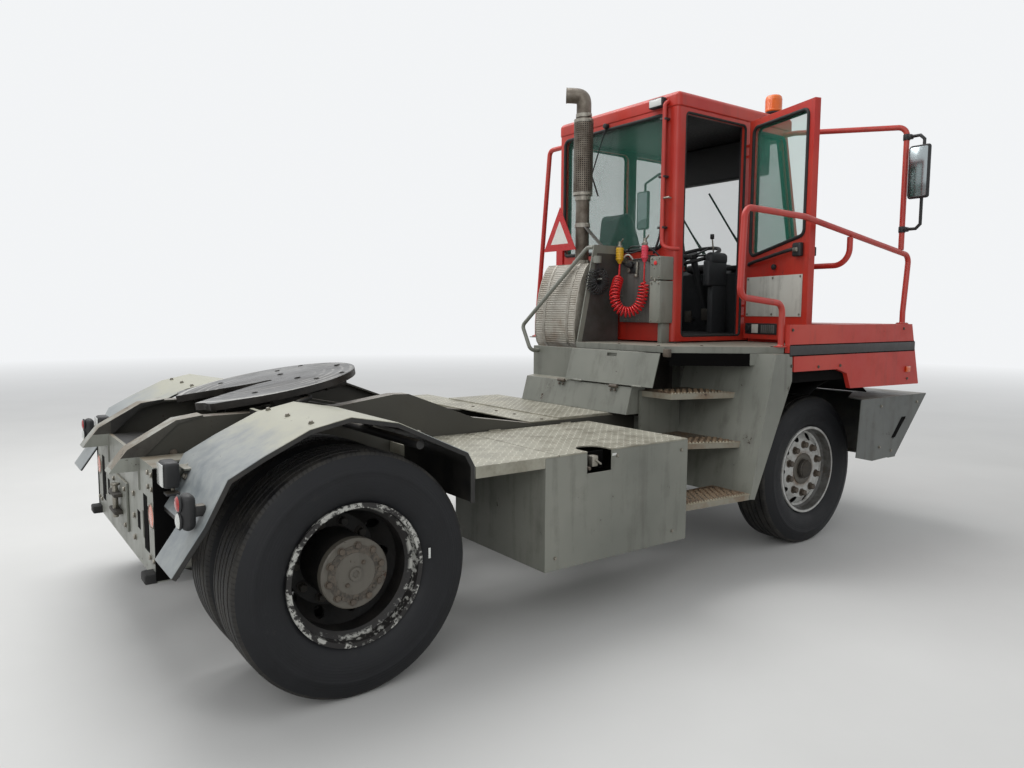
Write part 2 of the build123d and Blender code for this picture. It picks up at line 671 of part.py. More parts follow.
hinge_x = door_front_x + 16
hinge_y = cab_right_y - 28
door_hinges = [1600, 2750]
frame_edge = 70
quarter = [
    (front_x + 65, 2000), (windscreen_x(2060) - 60, 2060), (windscreen_x(2905) - 42, 2905),
    (front_x + 65, 2905)]
left_window = [(cab_rear_x + 90, 2000), (front_x - 15, 2000), (front_x - 15, 2905), (cab_rear_x + 90, 2905)]
rear_window = [(-310, 2025), (730, 2025), (730, 2920), (-310, 2920)]
screen_low = 1960
screen_high = 2900


def pane(points):
    return make_face(FilletPolyline(*points, radius=window_round, close=True))


def side_pane(points, y0, y1):
    face = pane([(x, y0, z) for x, z in points])
    return extrude(face, amount=abs(y1 - y0), dir=(0, 1 if y1 > y0 else -1, 0))


def rear_pane(points, x0, x1):
    return extrude(pane([(x0, y, z) for y, z in points]), amount=x1 - x0, dir=(1, 0, 0))


def inside_of(points):
    cx = sum(p[0] for p in points) / len(points)
    cz = sum(p[1] for p in points) / len(points)
    return [(x - math.copysign(seat_gap, x - cx), z - math.copysign(seat_gap, z - cz)) for x, z in points]


def cab_shell():
    outer = [(cab_rear_x, cab_floor_z), (cab_low_x, cab_floor_z), (cab_high_x, cab_top_z),
             (cab_rear_x, cab_top_z)]
    inner = [
        (cab_rear_x + wall_t, cab_floor_z + floor_t), (cab_low_x - 60, cab_floor_z + floor_t),
        (cab_high_x - 46, cab_top_z + 5), (cab_rear_x + wall_t, cab_top_z + 5)]
    shell = side(outer, cab_right_y, cab_left_y)
    shell = fillet(shell.edges().filter_by(Axis.Z), post_round)
    shell -= side(inner, cab_right_y + wall_t, cab_left_y - wall_t)
    shell -= bx(cab_rear_x + 90, front_x - 21, cab_right_y - 5, cab_right_y + wall_t + 5,
                cab_floor_z + floor_t, 2925)
    shell -= side_pane(quarter, cab_right_y - 5, cab_right_y + wall_t + 5)
    shell -= side_pane(quarter, cab_left_y + 5, cab_left_y - wall_t - 5)
    shell -= side_pane(left_window, cab_left_y + 5, cab_left_y - wall_t - 5)
    shell -= rear_pane(rear_window, cab_rear_x - 5, cab_rear_x + wall_t + 5)
    shell -= side([
        (windscreen_x(screen_low) + 20, screen_low), (windscreen_x(screen_high) + 20, screen_high),
        (windscreen_x(screen_high) - 100, screen_high), (windscreen_x(screen_low) - 100, screen_low)],
        cab_right_y + frame_edge, cab_left_y - frame_edge)
    for z in door_hinges:
        for low in (z + 30, z - 46):
            shell += Pos(hinge_x, hinge_y, low + 8) * Cylinder(11, 16)
            shell += bx(hinge_x - 9, hinge_x + 9, hinge_y, cab_right_y + 1, low, low + 16)
        shell += Pos(hinge_x, hinge_y, z) * Cylinder(door_pin_r, 70)
    return shell


save(cab_shell(), "cab_shell")
roof_out = 10
roof_rear_x = cab_rear_x - 4
roof = plan([
    (roof_rear_x, cab_right_y - roof_out), (cab_high_x + 70, cab_right_y - roof_out),
    (cab_high_x + 70, cab_left_y + roof_out), (roof_rear_x, cab_left_y + roof_out)],
    cab_top_z + seat_gap, roof_top_z)
roof = fillet(roof.edges().filter_by(Axis.Z), post_round + roof_out)
roof = chamfer(roof.edges().group_by(Axis.Z)[-1], 22)
save(roof, "cab_roof")

# Window panes, each set in the middle of its opening
pane_t = 6
deep = 22
glass = [
    rear_pane(inside_of(rear_window), cab_rear_x + deep, cab_rear_x + deep + pane_t),
    side_pane(inside_of(quarter), cab_right_y + deep, cab_right_y + deep + pane_t),
    side_pane(inside_of(quarter), cab_left_y - deep, cab_left_y - deep - pane_t),
    side_pane(inside_of(left_window), cab_left_y - deep, cab_left_y - deep - pane_t),
    side([
        (windscreen_x(screen_low) - 20, screen_low + seat_gap),
        (windscreen_x(screen_high) - 20, screen_high - seat_gap),
        (windscreen_x(screen_high) - 27, screen_high - seat_gap),
        (windscreen_x(screen_low) - 27, screen_low + seat_gap)],
        cab_right_y + frame_edge + seat_gap, cab_left_y - frame_edge - seat_gap)]
save(glass, "cab_windows")

# Door, drawn closed and then turned open on its front hinge
door_out_y = cab_right_y - swing_gap - seat_gap - door_thick
door_in_y = door_out_y + door_thick
latch_x = door_front_x - door_long
door = bx(latch_x, door_front_x, door_out_y, door_in_y, door_low_z, door_top_z)
door_glass = [
    (latch_x + 55, 2095), (door_front_x - 50, 1985), (door_front_x - 50, door_top_z - 55),
    (latch_x + 55, door_top_z - 55)]
door -= side_pane(door_glass, door_out_y - 5, door_in_y + 5)
for z in door_hinges:
    door += Pos(hinge_x, hinge_y, z) * Cylinder(11, 56)
    door += bx(door_front_x - 2, hinge_x, hinge_y - 6, hinge_y + 6, z - 28, z + 28)
    door -= Pos(hinge_x, hinge_y, z) * Cylinder(door_pin_r + run_gap, 90)
door_pane = side_pane(inside_of(door_glass), door_out_y + 20, door_out_y + 25)
swing = Pos(hinge_x, hinge_y, 0) * Rot(0, 0, door_open_deg) * Pos(-hinge_x, -hinge_y, 0)
save(swing * door, "door")
save(swing * door_pane, "door_window")

# Driver's seat: base, cushion and back
seat_x = front_x - 395
seat_y = 260
floor_z = cab_floor_z + floor_t + seat_gap
cushion_z = 1760
back_z = 1880
save(bx(-190, 200, seat_y - 190, seat_y + 190, floor_z, cushion_z, seat_x), "seat_base")
cushion = bx(-240, 260, seat_y - 250, seat_y + 250, cushion_z + seat_gap, back_z, seat_x)
save(fillet(cushion.edges().filter_by(Axis.Z), 40), "seat_cushion")
back_top = 2340
seat_back = side([
    (-240, back_z + seat_gap), (-120, back_z + seat_gap), (-190, back_top), (-280, back_top)],
    seat_y - 235, seat_y + 235, seat_x)
seat_back &= across([
    (seat_y - 225, back_z), (seat_y + 225, back_z), (seat_y + 220, 2120), (seat_y + 160, 2310),
    (seat_y + 125, back_top), (seat_y - 125, back_top), (seat_y - 160, 2310), (seat_y - 220, 2120)],
    seat_x - 300, seat_x - 100)
save(seat_back, "seat_back")

# Dash with the steering column, and the steering wheel on the column's end
dash = side([
    (475, floor_z), (735, floor_z), (645, 1890), (475, 1940), (355, 1900), (395, 1700)],
    cab_right_y + wall_t + seat_gap, cab_left_y - wall_t - seat_gap, front_x)
column_low = Vector(front_x + 445, seat_y, 1500)
column_top = Vector(front_x + 250, seat_y, 2035)
column_way = (column_top - column_low).normalized()
dash += rod(tuple(column_low), tuple(column_top), 28)
save(dash, "dashboard")
wheel = Torus(215, 15) + Pos(0, 0, 2) * Cylinder(45, 34) + Box(420, 26, 12) + Box(26, 420, 12)
wheel_plane = Plane(origin=tuple(column_top + column_way * (15 + seat_gap)), z_dir=column_way)
save(wheel_plane * wheel, "steering_wheel")

# Silencer behind the cab, the stack on it and the stack's bent end
silencer_y0 = 100
silencer_y1 = 555
silencer_top = 1930
save(side([
    (-1048, silencer_top), (-1082, 1885), (-1118, 1805), (-1144, 1715), (-1163, 1610), (-1173, 1500),
    (-1172, 1425), (-1158, 1362), (-1135, 1328), (-1105, 1312), (-825, 1312), (-805, 1335), (-800, 1385), (-780, 1415),
    (-780, 1870), (-792, 1912), (-820, silencer_top)], silencer_y0, silencer_y1, front_x),
    "silencer")
stack_x = front_x - 945
stack_y = 290
shield_low = 2430
bend_z = roof_top_z - 80
bend_r = 54
stack = rod((stack_x, stack_y, silencer_top + seat_gap), (stack_x, stack_y, shield_low + 10), 52)
stack += rod((stack_x, stack_y, shield_low), (stack_x, stack_y, bend_z + 5), 69)
stack_end = (stack_x - 95, stack_y + 83, bend_z + 165)
stack += tube([(stack_x, stack_y, bend_z), (stack_x, stack_y, bend_z + 150), stack_end], bend_r, 88)
stack -= rod(stack_end, (stack_end[0] + 30, stack_end[1] - 26, stack_end[2] - 5), bend_r - 4)
save(stack, "exhaust_stack")

# Plate that carries the silencer, the cable's socket and peg, and the guard tube
bracket_y0 = 52
bracket_y1 = 62
ring_x = front_x - 1045
ring_y = 8
ring_z = 1800
ring_major = 62
ring_minor = 42
peg_r = 7
socket_z = 1925
bracket = side([
    (-1185, upper_z + seat_gap), (-1039, 2057), (-765, 2057), (-765, 1960), (-795, 1950),
    (-795, upper_z + seat_gap)], bracket_y0, bracket_y1, front_x)
bracket += rod((front_x - 965, bracket_y1 - 2, 1620), (front_x - 965, silencer_y0 - seat_gap, 1620), 70)
bracket += rod((ring_x, bracket_y0 + 2, ring_z + ring_major - ring_minor - peg_r - seat_gap),
               (ring_x, ring_y - 50, ring_z + ring_major - ring_minor - peg_r - seat_gap), peg_r)
bracket += rod((ring_x, ring_y, socket_z + seat_gap), (ring_x, ring_y, socket_z + 50), 26)
bracket += bx(-12, 12, ring_y, bracket_y0 + 2, socket_z + 6, socket_z + 44, ring_x)
guard_r = 14
house_x = front_x - 1225
guard_tube = tube([
    (front_x - 1035, bracket_y1 + seat_gap, 2040), (front_x - 1035, 130, 2040), (front_x - 1300, 540, 1480),
    (front_x - 1300, 440, 1300), (house_x - seat_gap, 440, 1300)], guard_r, 40)
save([bracket, guard_tube], "silencer_bracket")
sign = across([(250, 2035), (620, 2035), (435, 2355)], front_x - 1041, front_x - 1037)
sign += bx(-1041, -1020, 400, 470, silencer_top + seat_gap, 2060, front_x)
save(sign, "marker_triangle")

# Service panel on the cab's rear wall, with its post and two hose couplings
hose_x = cab_rear_x - 95
red_y = -245
panel_x1 = -seat_gap
coupling_low = 1930
panel = bx(-50, panel_x1, -330, 40, 1512, 1955, cab_rear_x)
panel += bx(-130, panel_x1, -425, -328, 1512, 1960, cab_rear_x)
panel += bx(-80, panel_x1, -400, -365, upper_z + seat_gap, 1515, cab_rear_x)
for y in (0, red_y):
    panel += rod((hose_x, y, coupling_low + seat_gap), (hose_x, y, coupling_low + 130), 22)
    panel += bx(-95, -48, y - 12, y + 12, coupling_low + 8, coupling_low + 50, cab_rear_x)
panel += bx(-60, -20, -30, 30, 1950, 1975, cab_rear_x)
save(panel, "service_panel")


# Curly hoses: a straight-run path with an arc at each inner point
def cord_radii(points, name):
    vectors = [Vector(*p) for p in points]
    radii = []
    for a, b, c in zip(vectors, vectors[1:], vectors[2:]):
        turn = math.radians((b - a).get_angle(c - b))
        radii.append(0.45 * min((b - a).length, (c - b).length) / math.tan(turn / 2))
    print(name, "radii", [round(r) for r in radii])
    return radii


air_r = 40
air_route = [
    (hose_x, 0, coupling_low), (hose_x, 0, 1862), (front_x - 905, -50, 1795), (front_x - 975, -88, 1710),
    (front_x - 968, -105, 1622), (front_x - 920, -150, 1575), (front_x - 862, -205, 1600),
    (hose_x, -236, 1690), (hose_x, red_y, 1808), (hose_x, red_y, coupling_low)]
air_path = FilletPolyline(*air_route, radius=cord_radii(air_route, "air_hose"))
air_hose = sweep(Plane(origin=air_path @ 0, z_dir=air_path % 0) * Circle(air_r), path=air_path)
print("air_hose", round(air_hose.volume), round(math.pi * air_r ** 2 * air_path.length))
save(air_hose, "air_hose")
cable = Pos(ring_x, ring_y, ring_z) * Rot(90, 0, 0) * Torus(ring_major, ring_minor)
cable += rod((ring_x, ring_y, ring_z + ring_major + ring_minor - 12), (ring_x, ring_y, socket_z), 9)
save(cable, "electric_cable")

# Handrails: the long right rail over the steps, its link to the cab's top and its lower link
rail_r = 19
rail_y1 = -half_width + 55
foot_z = upper_z + seat_gap
long_rail = tube([
    (front_x - 620, rail_y1, foot_z), (front_x - 620, rail_y1, 1640), (front_x - 1035, rail_y1, 1675),
    (front_x - 1013, rail_y1, 2190), (front_x - 425, rail_y1, 2180), (front_x + 880, rail_y1, 2004),
    (front_x + 835, rail_y1, 1600), (front_x + 835, rail_y1, body_top + seat_gap)], rail_r, 60)
front_post_x = front_x + 765
top_link = tube([
    (front_x + 440, cab_right_y - seat_gap, 2925), (front_x + 440, cab_right_y - 90, 2925),
    (front_post_x, rail_y1, 2890), (front_post_x, rail_y1, 2038)], rail_r, 60)
low_link = tube([
    (front_x + 100, cab_right_y - seat_gap, 1905), (front_x + 100, rail_y1, 1905),
    (front_x + 100, rail_y1, 2089)], rail_r, 110)
save([long_rail, top_link, low_link], "handrail_right")
save(tube([
    (front_x - 715, cab_left_y + seat_gap, 2890), (front_x - 715, cab_left_y + 160, 2890),
    (front_x - 665, half_width - 75, 1500), (front_x - 665, half_width - 75, foot_z)], rail_r, 50), "handrail_left")

# Mirrors: the right one on the rail's post, the left one on an arm from the pillar
mirror_y = half_width + 70
mirror_r = 12
mirror_top = 2820
head = bx(-50, -7, -mirror_y - 65, -mirror_y + 85, 2380, 2750, front_post_x)
head = fillet(head.edges(), 18)
right_arm = tube([
    (front_post_x, rail_y1 - rail_r - seat_gap, mirror_top), (front_post_x, -mirror_y, mirror_top),
    (front_post_x, -mirror_y, 2180), (front_post_x, rail_y1 - rail_r - seat_gap, 2180)], mirror_r, 30)
left_arm = tube([
    (front_x + 468, cab_left_y + seat_gap, mirror_top), (front_x + 468, cab_left_y + 90, mirror_top),
    (front_post_x, mirror_y, mirror_top), (front_post_x, mirror_y, 2180)], mirror_r, 30)
save([right_arm + head, left_arm + left_of(head)], "mirrors")

# Beacon on the roof, and the lamps at the roof, nose and tail
beacon_x = front_x + 418
beacon_y = -340
beacon = rod((beacon_x, beacon_y, roof_top_z + seat_gap), (beacon_x, beacon_y, roof_top_z + 52), 58)
dome = rod((beacon_x, beacon_y, roof_top_z + 50), (beacon_x, beacon_y, roof_top_z + 175), 64)
beacon += fillet(dome.edges().group_by(Axis.Z)[-1], 28)
save(beacon, "beacon")
lamps = [bx(-50, -seat_gap, -330, -205, 2966, 3030, roof_rear_x)]
for s in (-1, 1):
    lamps.append(side([
        (nose_x(1290) + seat_gap, 1290), (nose_x(1290) + 18, 1290), (nose_x(1200) + 18, 1200),
        (nose_x(1200) + seat_gap, 1200)], s * 1190, s * 1090, front_x))
    lamp = rod((rear_x - 675, s * 1170, 860), (rear_x - 620, s * 1170, 860), 58)
    lamps.append(lamp + bx(-622, -582, s * 1150, s * 1190, 850, 870, rear_x))
    work = bx(-640, -580, s * 745, s * 855, 880, 980, rear_x)
    work += bx(-647, -635, s * 690, s * 760, 890, 930, rear_x)
    lamps.append(work)
save(lamps, "lamps")
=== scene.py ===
# %% [markdown]
# # A port yard tractor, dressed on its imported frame
# The frame holds every solid part of the tractor at its true place, in metres, with X forward and Y to the left.
# It comes first and never moves. All that is made here is laid on it: better shapes for soft and round pieces,
# small fittings, and the finishes.

# %% Load the frame
import bpy
import math
from mathutils import Matrix, Vector


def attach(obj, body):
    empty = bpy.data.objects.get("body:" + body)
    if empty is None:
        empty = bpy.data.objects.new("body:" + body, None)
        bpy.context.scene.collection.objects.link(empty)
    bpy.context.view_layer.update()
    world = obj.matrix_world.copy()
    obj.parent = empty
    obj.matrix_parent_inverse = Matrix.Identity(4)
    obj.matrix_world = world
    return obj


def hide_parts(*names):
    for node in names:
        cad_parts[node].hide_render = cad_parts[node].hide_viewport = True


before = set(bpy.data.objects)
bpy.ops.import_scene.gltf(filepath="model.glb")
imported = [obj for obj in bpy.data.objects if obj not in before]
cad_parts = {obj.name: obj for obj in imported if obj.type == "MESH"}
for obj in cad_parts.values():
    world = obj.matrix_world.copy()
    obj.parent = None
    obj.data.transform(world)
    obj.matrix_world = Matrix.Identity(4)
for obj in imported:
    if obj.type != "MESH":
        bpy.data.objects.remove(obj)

bpy.ops.object.select_all(action="DESELECT")
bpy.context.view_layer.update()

# %% [markdown]
# ## Shader sums
# A worn finish is a stack of masks: a broad stain, fine grime, chips, dust on what faces up. Written node by node
# such a stack is hard to read, so one class lets Python's own signs add and scale sockets, and one method makes
# every other node.

# %% Sockets that Python can add
class Wire:
    def __init__(self, nodes, socket):
        self.nodes, self.socket = nodes, socket

    def math(self, operation, first, second=0):
        return self.nodes.node("Math", {"operation": operation}, {0: first, 1: second})

    def __add__(self, other):
        return self.math("ADD", self, other)

    def __sub__(self, other):
        return self.math("SUBTRACT", self, other)

    def __rsub__(self, other):
        return self.math("SUBTRACT", other, self)

    def __mul__(self, other):
        return self.math("MULTIPLY", self, other)

    def __gt__(self, other):
        return self.math("GREATER_THAN", self, other)

    def __lt__(self, other):
        return self.math("LESS_THAN", self, other)

    def __abs__(self):
        return self.math("ABSOLUTE", self)

    __radd__ = __add__
    __rmul__ = __mul__

    def sine(self):
        return self.math("SINE", self)

    def fract(self):
        return self.math("FRACT", self)


def linear(shade):
    """A colour as it is read off a screen, 0 to 255, as the linear numbers that a shader takes."""
    if isinstance(shade, Wire) or len(shade) == 4:
        return shade
    return (*[(v / 255 / 12.92) if v < 11 else ((v / 255 + 0.055) / 1.055) ** 2.4 for v in shade], 1)


class Nodes:
    def __init__(self, tree):
        self.tree = tree

    def node(self, kind, settings=None, inputs=None, out=0):
        node = self.tree.nodes.new("ShaderNode" + kind)
        for key, value in (settings or {}).items():
            setattr(node, key, value)
        self.plug(node, inputs or {})
        return Wire(self, node.outputs[out])

    def plug(self, node, inputs):
        for key, value in inputs.items():
            if isinstance(value, Wire):
                self.tree.links.new(value.socket, node.inputs[key])
            else:
                node.inputs[key].default_value = value

    def length(self, a, b):
        total = a * a + b * b
        return total.math("SQRT", total)


class Finish(Nodes):
    def __init__(self, name, **constants):
        self.material = bpy.data.materials.new(name)
        self.material.use_nodes = True
        super().__init__(self.material.node_tree)
        self.shader = self.tree.nodes["Principled BSDF"]
        self.feed(**constants)
        self.at = self.node("TexCoord", out="Object")
        self.facing = self.node("TexCoord", out="Normal")

    def feed(self, **sockets):
        self.plug(self.shader, {key.replace("_", " "): value for key, value in sockets.items()})

    def noise(self, scale, detail=4, rough=0.55, at=None):
        return self.node("TexNoise", None, {
            "Vector": at or self.at, "Scale": scale, "Detail": detail, "Roughness": rough})

    def fade(self, value, low, high):
        return self.node("MapRange", None, {0: value, 1: low, 2: high})

    def mix(self, mask, under, over):
        return self.node("Mix", {"data_type": "RGBA"}, {0: mask, 6: linear(under), 7: linear(over)}, out=2)

    def blend(self, value, low, high, under, over):
        return self.mix(self.fade(value, low, high), under, over)

    def within(self, value, low, high):
        return (value > low) * (value < high)

    def place(self, turn=(0, 0, 0), size=(1, 1, 1)):
        return self.node("Mapping", {"vector_type": "TEXTURE"}, {"Vector": self.at, "Rotation": turn, "Scale": size})

    def axes(self, vector=None):
        outputs = self.node("SeparateXYZ", None, {0: vector or self.at}).socket.node.outputs
        return [Wire(self, outputs[i]) for i in range(3)]

    def up(self):
        return self.axes(self.facing)[2]

    def gloss(self, value, share, least, low=0.3, high=0.7):
        return self.fade(value, low, high) * share + least

    def done(self, base, roughness, height, distance, strength=0.6):
        """Feeds the colour, the roughness and the relief, which every finish ends with."""
        bump = self.node("Bump", None, {"Height": height, "Strength": strength, "Distance": distance})
        self.feed(Base_Color=base, Roughness=roughness, Normal=bump)
        return self.material


# %% [markdown]
# ## Old enamel
# Most of the tractor is sprayed steel that has stood outside for years. The coat fades in patches, dirt runs down
# from edges, dust lies on what faces up, and chips show brown primer and rust. One function makes them all, so
# that the grey, red and olive coats age alike.

# %% Enamel, new to worn
rust_brown, dust_tan = (96, 62, 40), (156, 146, 128)


def enamel(name, paint, faded, chips=0.5, runs=0.5, dust=0.35, rough=0.42, over=None):
    f = Finish(name)
    broad, grime, fine = f.noise(1.4, 3), f.noise(6.5, 9, 0.68), f.noise(58, 5, 0.6)
    drips = f.noise(1.0, 7, 0.6, at=f.place(size=(0.055, 0.055, 0.7)))
    base = f.blend(broad, 0.36, 0.66, paint, faded)
    base = f.mix(f.fade(drips * 0.6 + grime * 0.4, 0.5, 0.66) * (runs * 0.8), base, (62, 58, 50))
    base = f.mix(f.fade(f.up() + grime * 0.8, 1.0, 1.45) * dust, base, dust_tan)
    if over:
        base = over(f, base, grime)
    chipped = f.fade(fine * 0.42 + grime * 0.58, 0.66 - 0.06 * chips, 0.675 - 0.05 * chips)
    base = f.mix(chipped, base, f.blend(fine, 0.42, 0.6, rust_brown, (52, 40, 32)))
    roughness = f.fade(grime, 0.25, 0.8) * 0.3 + chipped * 0.2 + (rough - 0.12)
    return f.done(base, roughness, fine * 0.25 + broad * 1.2 - chipped * 0.5, 0.0012, 0.5)


grey, red = ((110, 112, 104), (130, 131, 122)), ((176, 34, 24), (186, 58, 42))
grey_coat = enamel("grey_enamel", *grey, chips=0.6)
red_coat = enamel("red_enamel", *red, chips=0.3, runs=0.35, dust=0.2, rough=0.4)
black_coat = enamel("black_enamel", (30, 30, 31), (42, 42, 42), chips=0.2, rough=0.5)
bumper_coat = enamel("bumper_enamel", (84, 87, 85), (98, 101, 98), chips=0.8, runs=0.6)
rail_coat = enamel("handrail_enamel", (176, 40, 34), (188, 70, 58), dust=0.1, rough=0.36)
hub_grey = enamel("hub_enamel", (92, 88, 80), (74, 69, 62), chips=1.2, runs=0.9, dust=0.0, rough=0.5)
panel_grey = enamel("panel_enamel", (88, 88, 86), (102, 101, 98), chips=0.9, runs=0.9, dust=0.2)
kick_white = enamel("kick_panel_white", (196, 196, 188), (178, 176, 168), chips=0.15)

# %% [markdown]
# ## Plain stuffs
# Cast iron, zinc bolts, moulded plastic, rubber and glass need fewer masks. Each still has its grain and a change
# of gloss, because a single flat colour never looks like a real thing.

# %% Iron, zinc, plastic, rubber, glass


def grained(name, dark, light, scale, rough, metallic=0.0, bump=0.001, **constants):
    f = Finish(name, Metallic=metallic, **constants)
    broad, fine = f.noise(scale * 0.12, 4), f.noise(scale, 6, 0.65)
    return f.done(f.blend(fine * 0.5 + broad * 0.5, 0.35, 0.65, dark, light), f.gloss(broad, 0.2, rough - 0.1),
                  fine, bump)


cast_iron = grained("cast_iron", (34, 33, 31), (66, 60, 52), 60, 0.72, bump=0.003)
zinc = grained("zinc_bolts", (120, 116, 106), (160, 156, 146), 140, 0.4, 0.8)
rusty_nut = grained("rusty_nuts", (62, 54, 47), (98, 88, 76), 160, 0.6)
moulding = grained("black_moulding", (22, 22, 23), (36, 36, 37), 420, 0.55, bump=0.0004)
console_grey = grained("console_grey", (40, 42, 44), (58, 60, 62), 380, 0.6, bump=0.0004)
seal_rubber = grained("seal_rubber", (18, 18, 18), (32, 31, 30), 200, 0.75)
steel_rod = grained("ground_steel", (150, 148, 144), (186, 184, 180), 90, 0.25, 1.0, bump=0.0002)
red_plastic = grained("red_hose_wall", (196, 22, 30), (216, 44, 44), 90, 0.32, bump=0.0003)
pink_plastic = grained("pink_coupling", (206, 40, 66), (222, 76, 96), 90, 0.35, bump=0.0003)
yellow_plastic = grained("yellow_coupling", (206, 158, 30), (222, 180, 54), 90, 0.35, bump=0.0003)
bright_edge = grained("worn_bright_edge", (128, 122, 112), (166, 162, 152), 60, 0.42, 0.5)
# A near-black that is mostly painted shade: it fills slots, gaps, recesses and sheets where only shade is; in the
# exhaust it is soot as well.
shade_and_soot = grained("shade_and_soot_black", (5, 5, 5), (10, 9, 8), 40, 0.95, Specular_IOR_Level=0.1)
strip_black = grained("guard_strip", (44, 44, 46), (62, 61, 60), 30, 0.6)
tread_edge = grained("tread_edge", (122, 116, 98), (160, 154, 136), 60, 0.55, 0.2)
tread_rust = grained("tread_rust", (92, 72, 54), (134, 116, 92), 60, 0.65)
cable_black = grained("cable_black", (20, 20, 21), (38, 38, 40), 220, 0.5, bump=0.0003)
mirror_glass = grained("mirror_glass", (150, 158, 160), (170, 178, 180), 3, 0.12, 1.0, bump=0.0)


def glazing(name, tint):
    f = Finish(name, Alpha=0.24, Specular_IOR_Level=0.6)
    haze = f.noise(3.5, 6, 0.6)
    f.feed(Base_Color=f.mix(f.fade(haze, 0.3, 0.75) * 0.3, tint, (120, 140, 132)),
           Roughness=f.gloss(haze, 0.05, 0.05, 0.35, 0.8))
    return f.material


green_glass = glazing("green_glass", (44, 112, 92))
clear_glass = glazing("clear_glass", (60, 150, 126))


def lens(name, tint, rib_shade_tone=0.35):
    f = Finish(name, Coat_Weight=0.6, Coat_Roughness=0.08)
    x, y, z = f.axes()
    ribs, tint = ((y + z) * 620).sine(), linear(tint)
    # Darker stripes along the ribs are painted shade; the last argument is the share of the tint that they keep.
    shaded = f.mix(f.fade(ribs, -1, 1) * 0.35, tint, (*[c * rib_shade_tone for c in tint[:3]], 1))
    return f.done(shaded, f.gloss(f.noise(60), 0.15, 0.12), ribs, 0.0006, 0.5)


red_lens = lens("red_lens", (176, 20, 16))
amber_lens = lens("amber_lens", (216, 88, 18), 0.6)
beacon_amber = lens("beacon_amber", (240, 112, 8), 0.7)
white_lens = lens("white_lens", (214, 216, 212), 0.75)

# %% [markdown]
# ## Chequer plate
# The floor plates are rolled steel with small raised tears that turn by a quarter from one to the next. The
# pattern is worked out from X and Y: the place inside each square cell, and whether the cell is an odd or an even
# one, give an ellipse that lies along or across.

# %% Rolled floor plate
cell = 0.034
f = Finish("floor_plate", Metallic=0.25)
u, v, _ = f.axes(f.place(turn=(0, 0, math.radians(45)), size=(cell, cell, cell)))
part = [w.fract() - 0.5 for w in (u, v)]
whole = u.math("FLOOR", u) + v.math("FLOOR", v)
odd = abs(whole.math("MODULO", whole, 2))
along = part[0] * part[0] * 5.0 + part[1] * part[1] * 55.0
across = part[0] * part[0] * 55.0 + part[1] * part[1] * 5.0
raised = f.fade(along * (1 - odd) + across * odd, 1.15, 0.55) * (f.up() > 0.5)
broad, grime, fine = f.noise(1.6, 4), f.noise(9, 9, 0.7), f.noise(90, 5)
base = f.blend(grime * 0.6 + broad * 0.4, 0.4, 0.62, (120, 116, 102), (164, 162, 148))
base = f.mix(raised * f.fade(grime, 0.3, 0.55) * 0.8, base, (206, 204, 190))
base = f.mix(f.fade(grime * 0.55 + fine * 0.45, 0.57, 0.64) * 0.45, base, rust_brown)
deck_plate = f.done(base, f.gloss(grime, 0.25, 0.4), raised * 1.6 + fine * 0.2, 0.0022, 0.9)

# %% [markdown]
# ## Steps, silencer, wheels and the coupling plate
# Each of these has zones of its own, so its finish asks where on the part a point lies. The tread tops are told
# by what faces up, the wheel's zones by the distance from its axle, and the coupling's grease by its grain.

# %% Finishes with zones
front_x, rear_x, wheel_z = 1.544, -1.906, 0.51


def from_axle(f):
    """Distance from the nearer axle's line, the angle about it, and the place across."""
    x, y, z = f.axes()
    dx = x - ((x > 0) * (front_x - rear_x) + rear_x)
    dz = z - wheel_z
    return f.length(dx, dz), dx.math("ARCTAN2", dz, dx), y


def step_zones(f, base, grime):
    """The treads and their front edges are bare and brown, with a pattern of small round holes."""
    x, y, z = f.axes()
    flat = f.up() > 0.9
    edge = (f.within(z, 0.47, 0.512) + f.within(z, 0.76, 0.802) + f.within(z, 1.05, 1.092)) * (x - z * 0.243 < 0.475)
    worn = f.fade(flat * (z < 1.1) + edge * (y < -0.62), 0, 1)
    cells = [abs((w * 30).fract() - 0.5) for w in (x, y)]
    # The small holes are painted dark: painted shade under the grid.
    holes = f.fade(cells[0] * cells[0] + cells[1] * cells[1], 0.09, 0.06) * flat
    plate = f.blend(grime, 0.4, 0.6, (100, 92, 80), (112, 88, 66))
    plate = f.mix(flat, f.blend(grime, 0.45, 0.65, (136, 132, 118), (118, 100, 80)), plate)
    return f.mix(worn, base, f.mix(holes, plate, (48, 42, 36)))


def rail_zones(f, base, grime):
    """Web of the frame rails dark, their flanges lighter and dusty."""
    return f.blend(f.up(), 0.6, 0.9, base, f.blend(grime, 0.4, 0.6, (118, 112, 100), (92, 84, 74)))


def guard_zones(f, base, grime):
    """The guards' undersides and edges are painted black as shade, with some road dirt in its tone; their tops are
    scoured pale.
    """
    pale = f.mix(f.fade(grime, 0.35, 0.62) * 0.7, base, (160, 164, 162))
    pale = f.mix(f.fade(f.axes()[2] + grime * 0.25, 1.15, 1.24) * 0.65, pale, (166, 163, 140))
    # What faces down or sideways is painted shade: near-black with a little dirt in its tone.
    return f.mix(f.up() < 0.04, pale, f.blend(grime, 0.4, 0.7, (22, 22, 22), (48, 46, 42)))


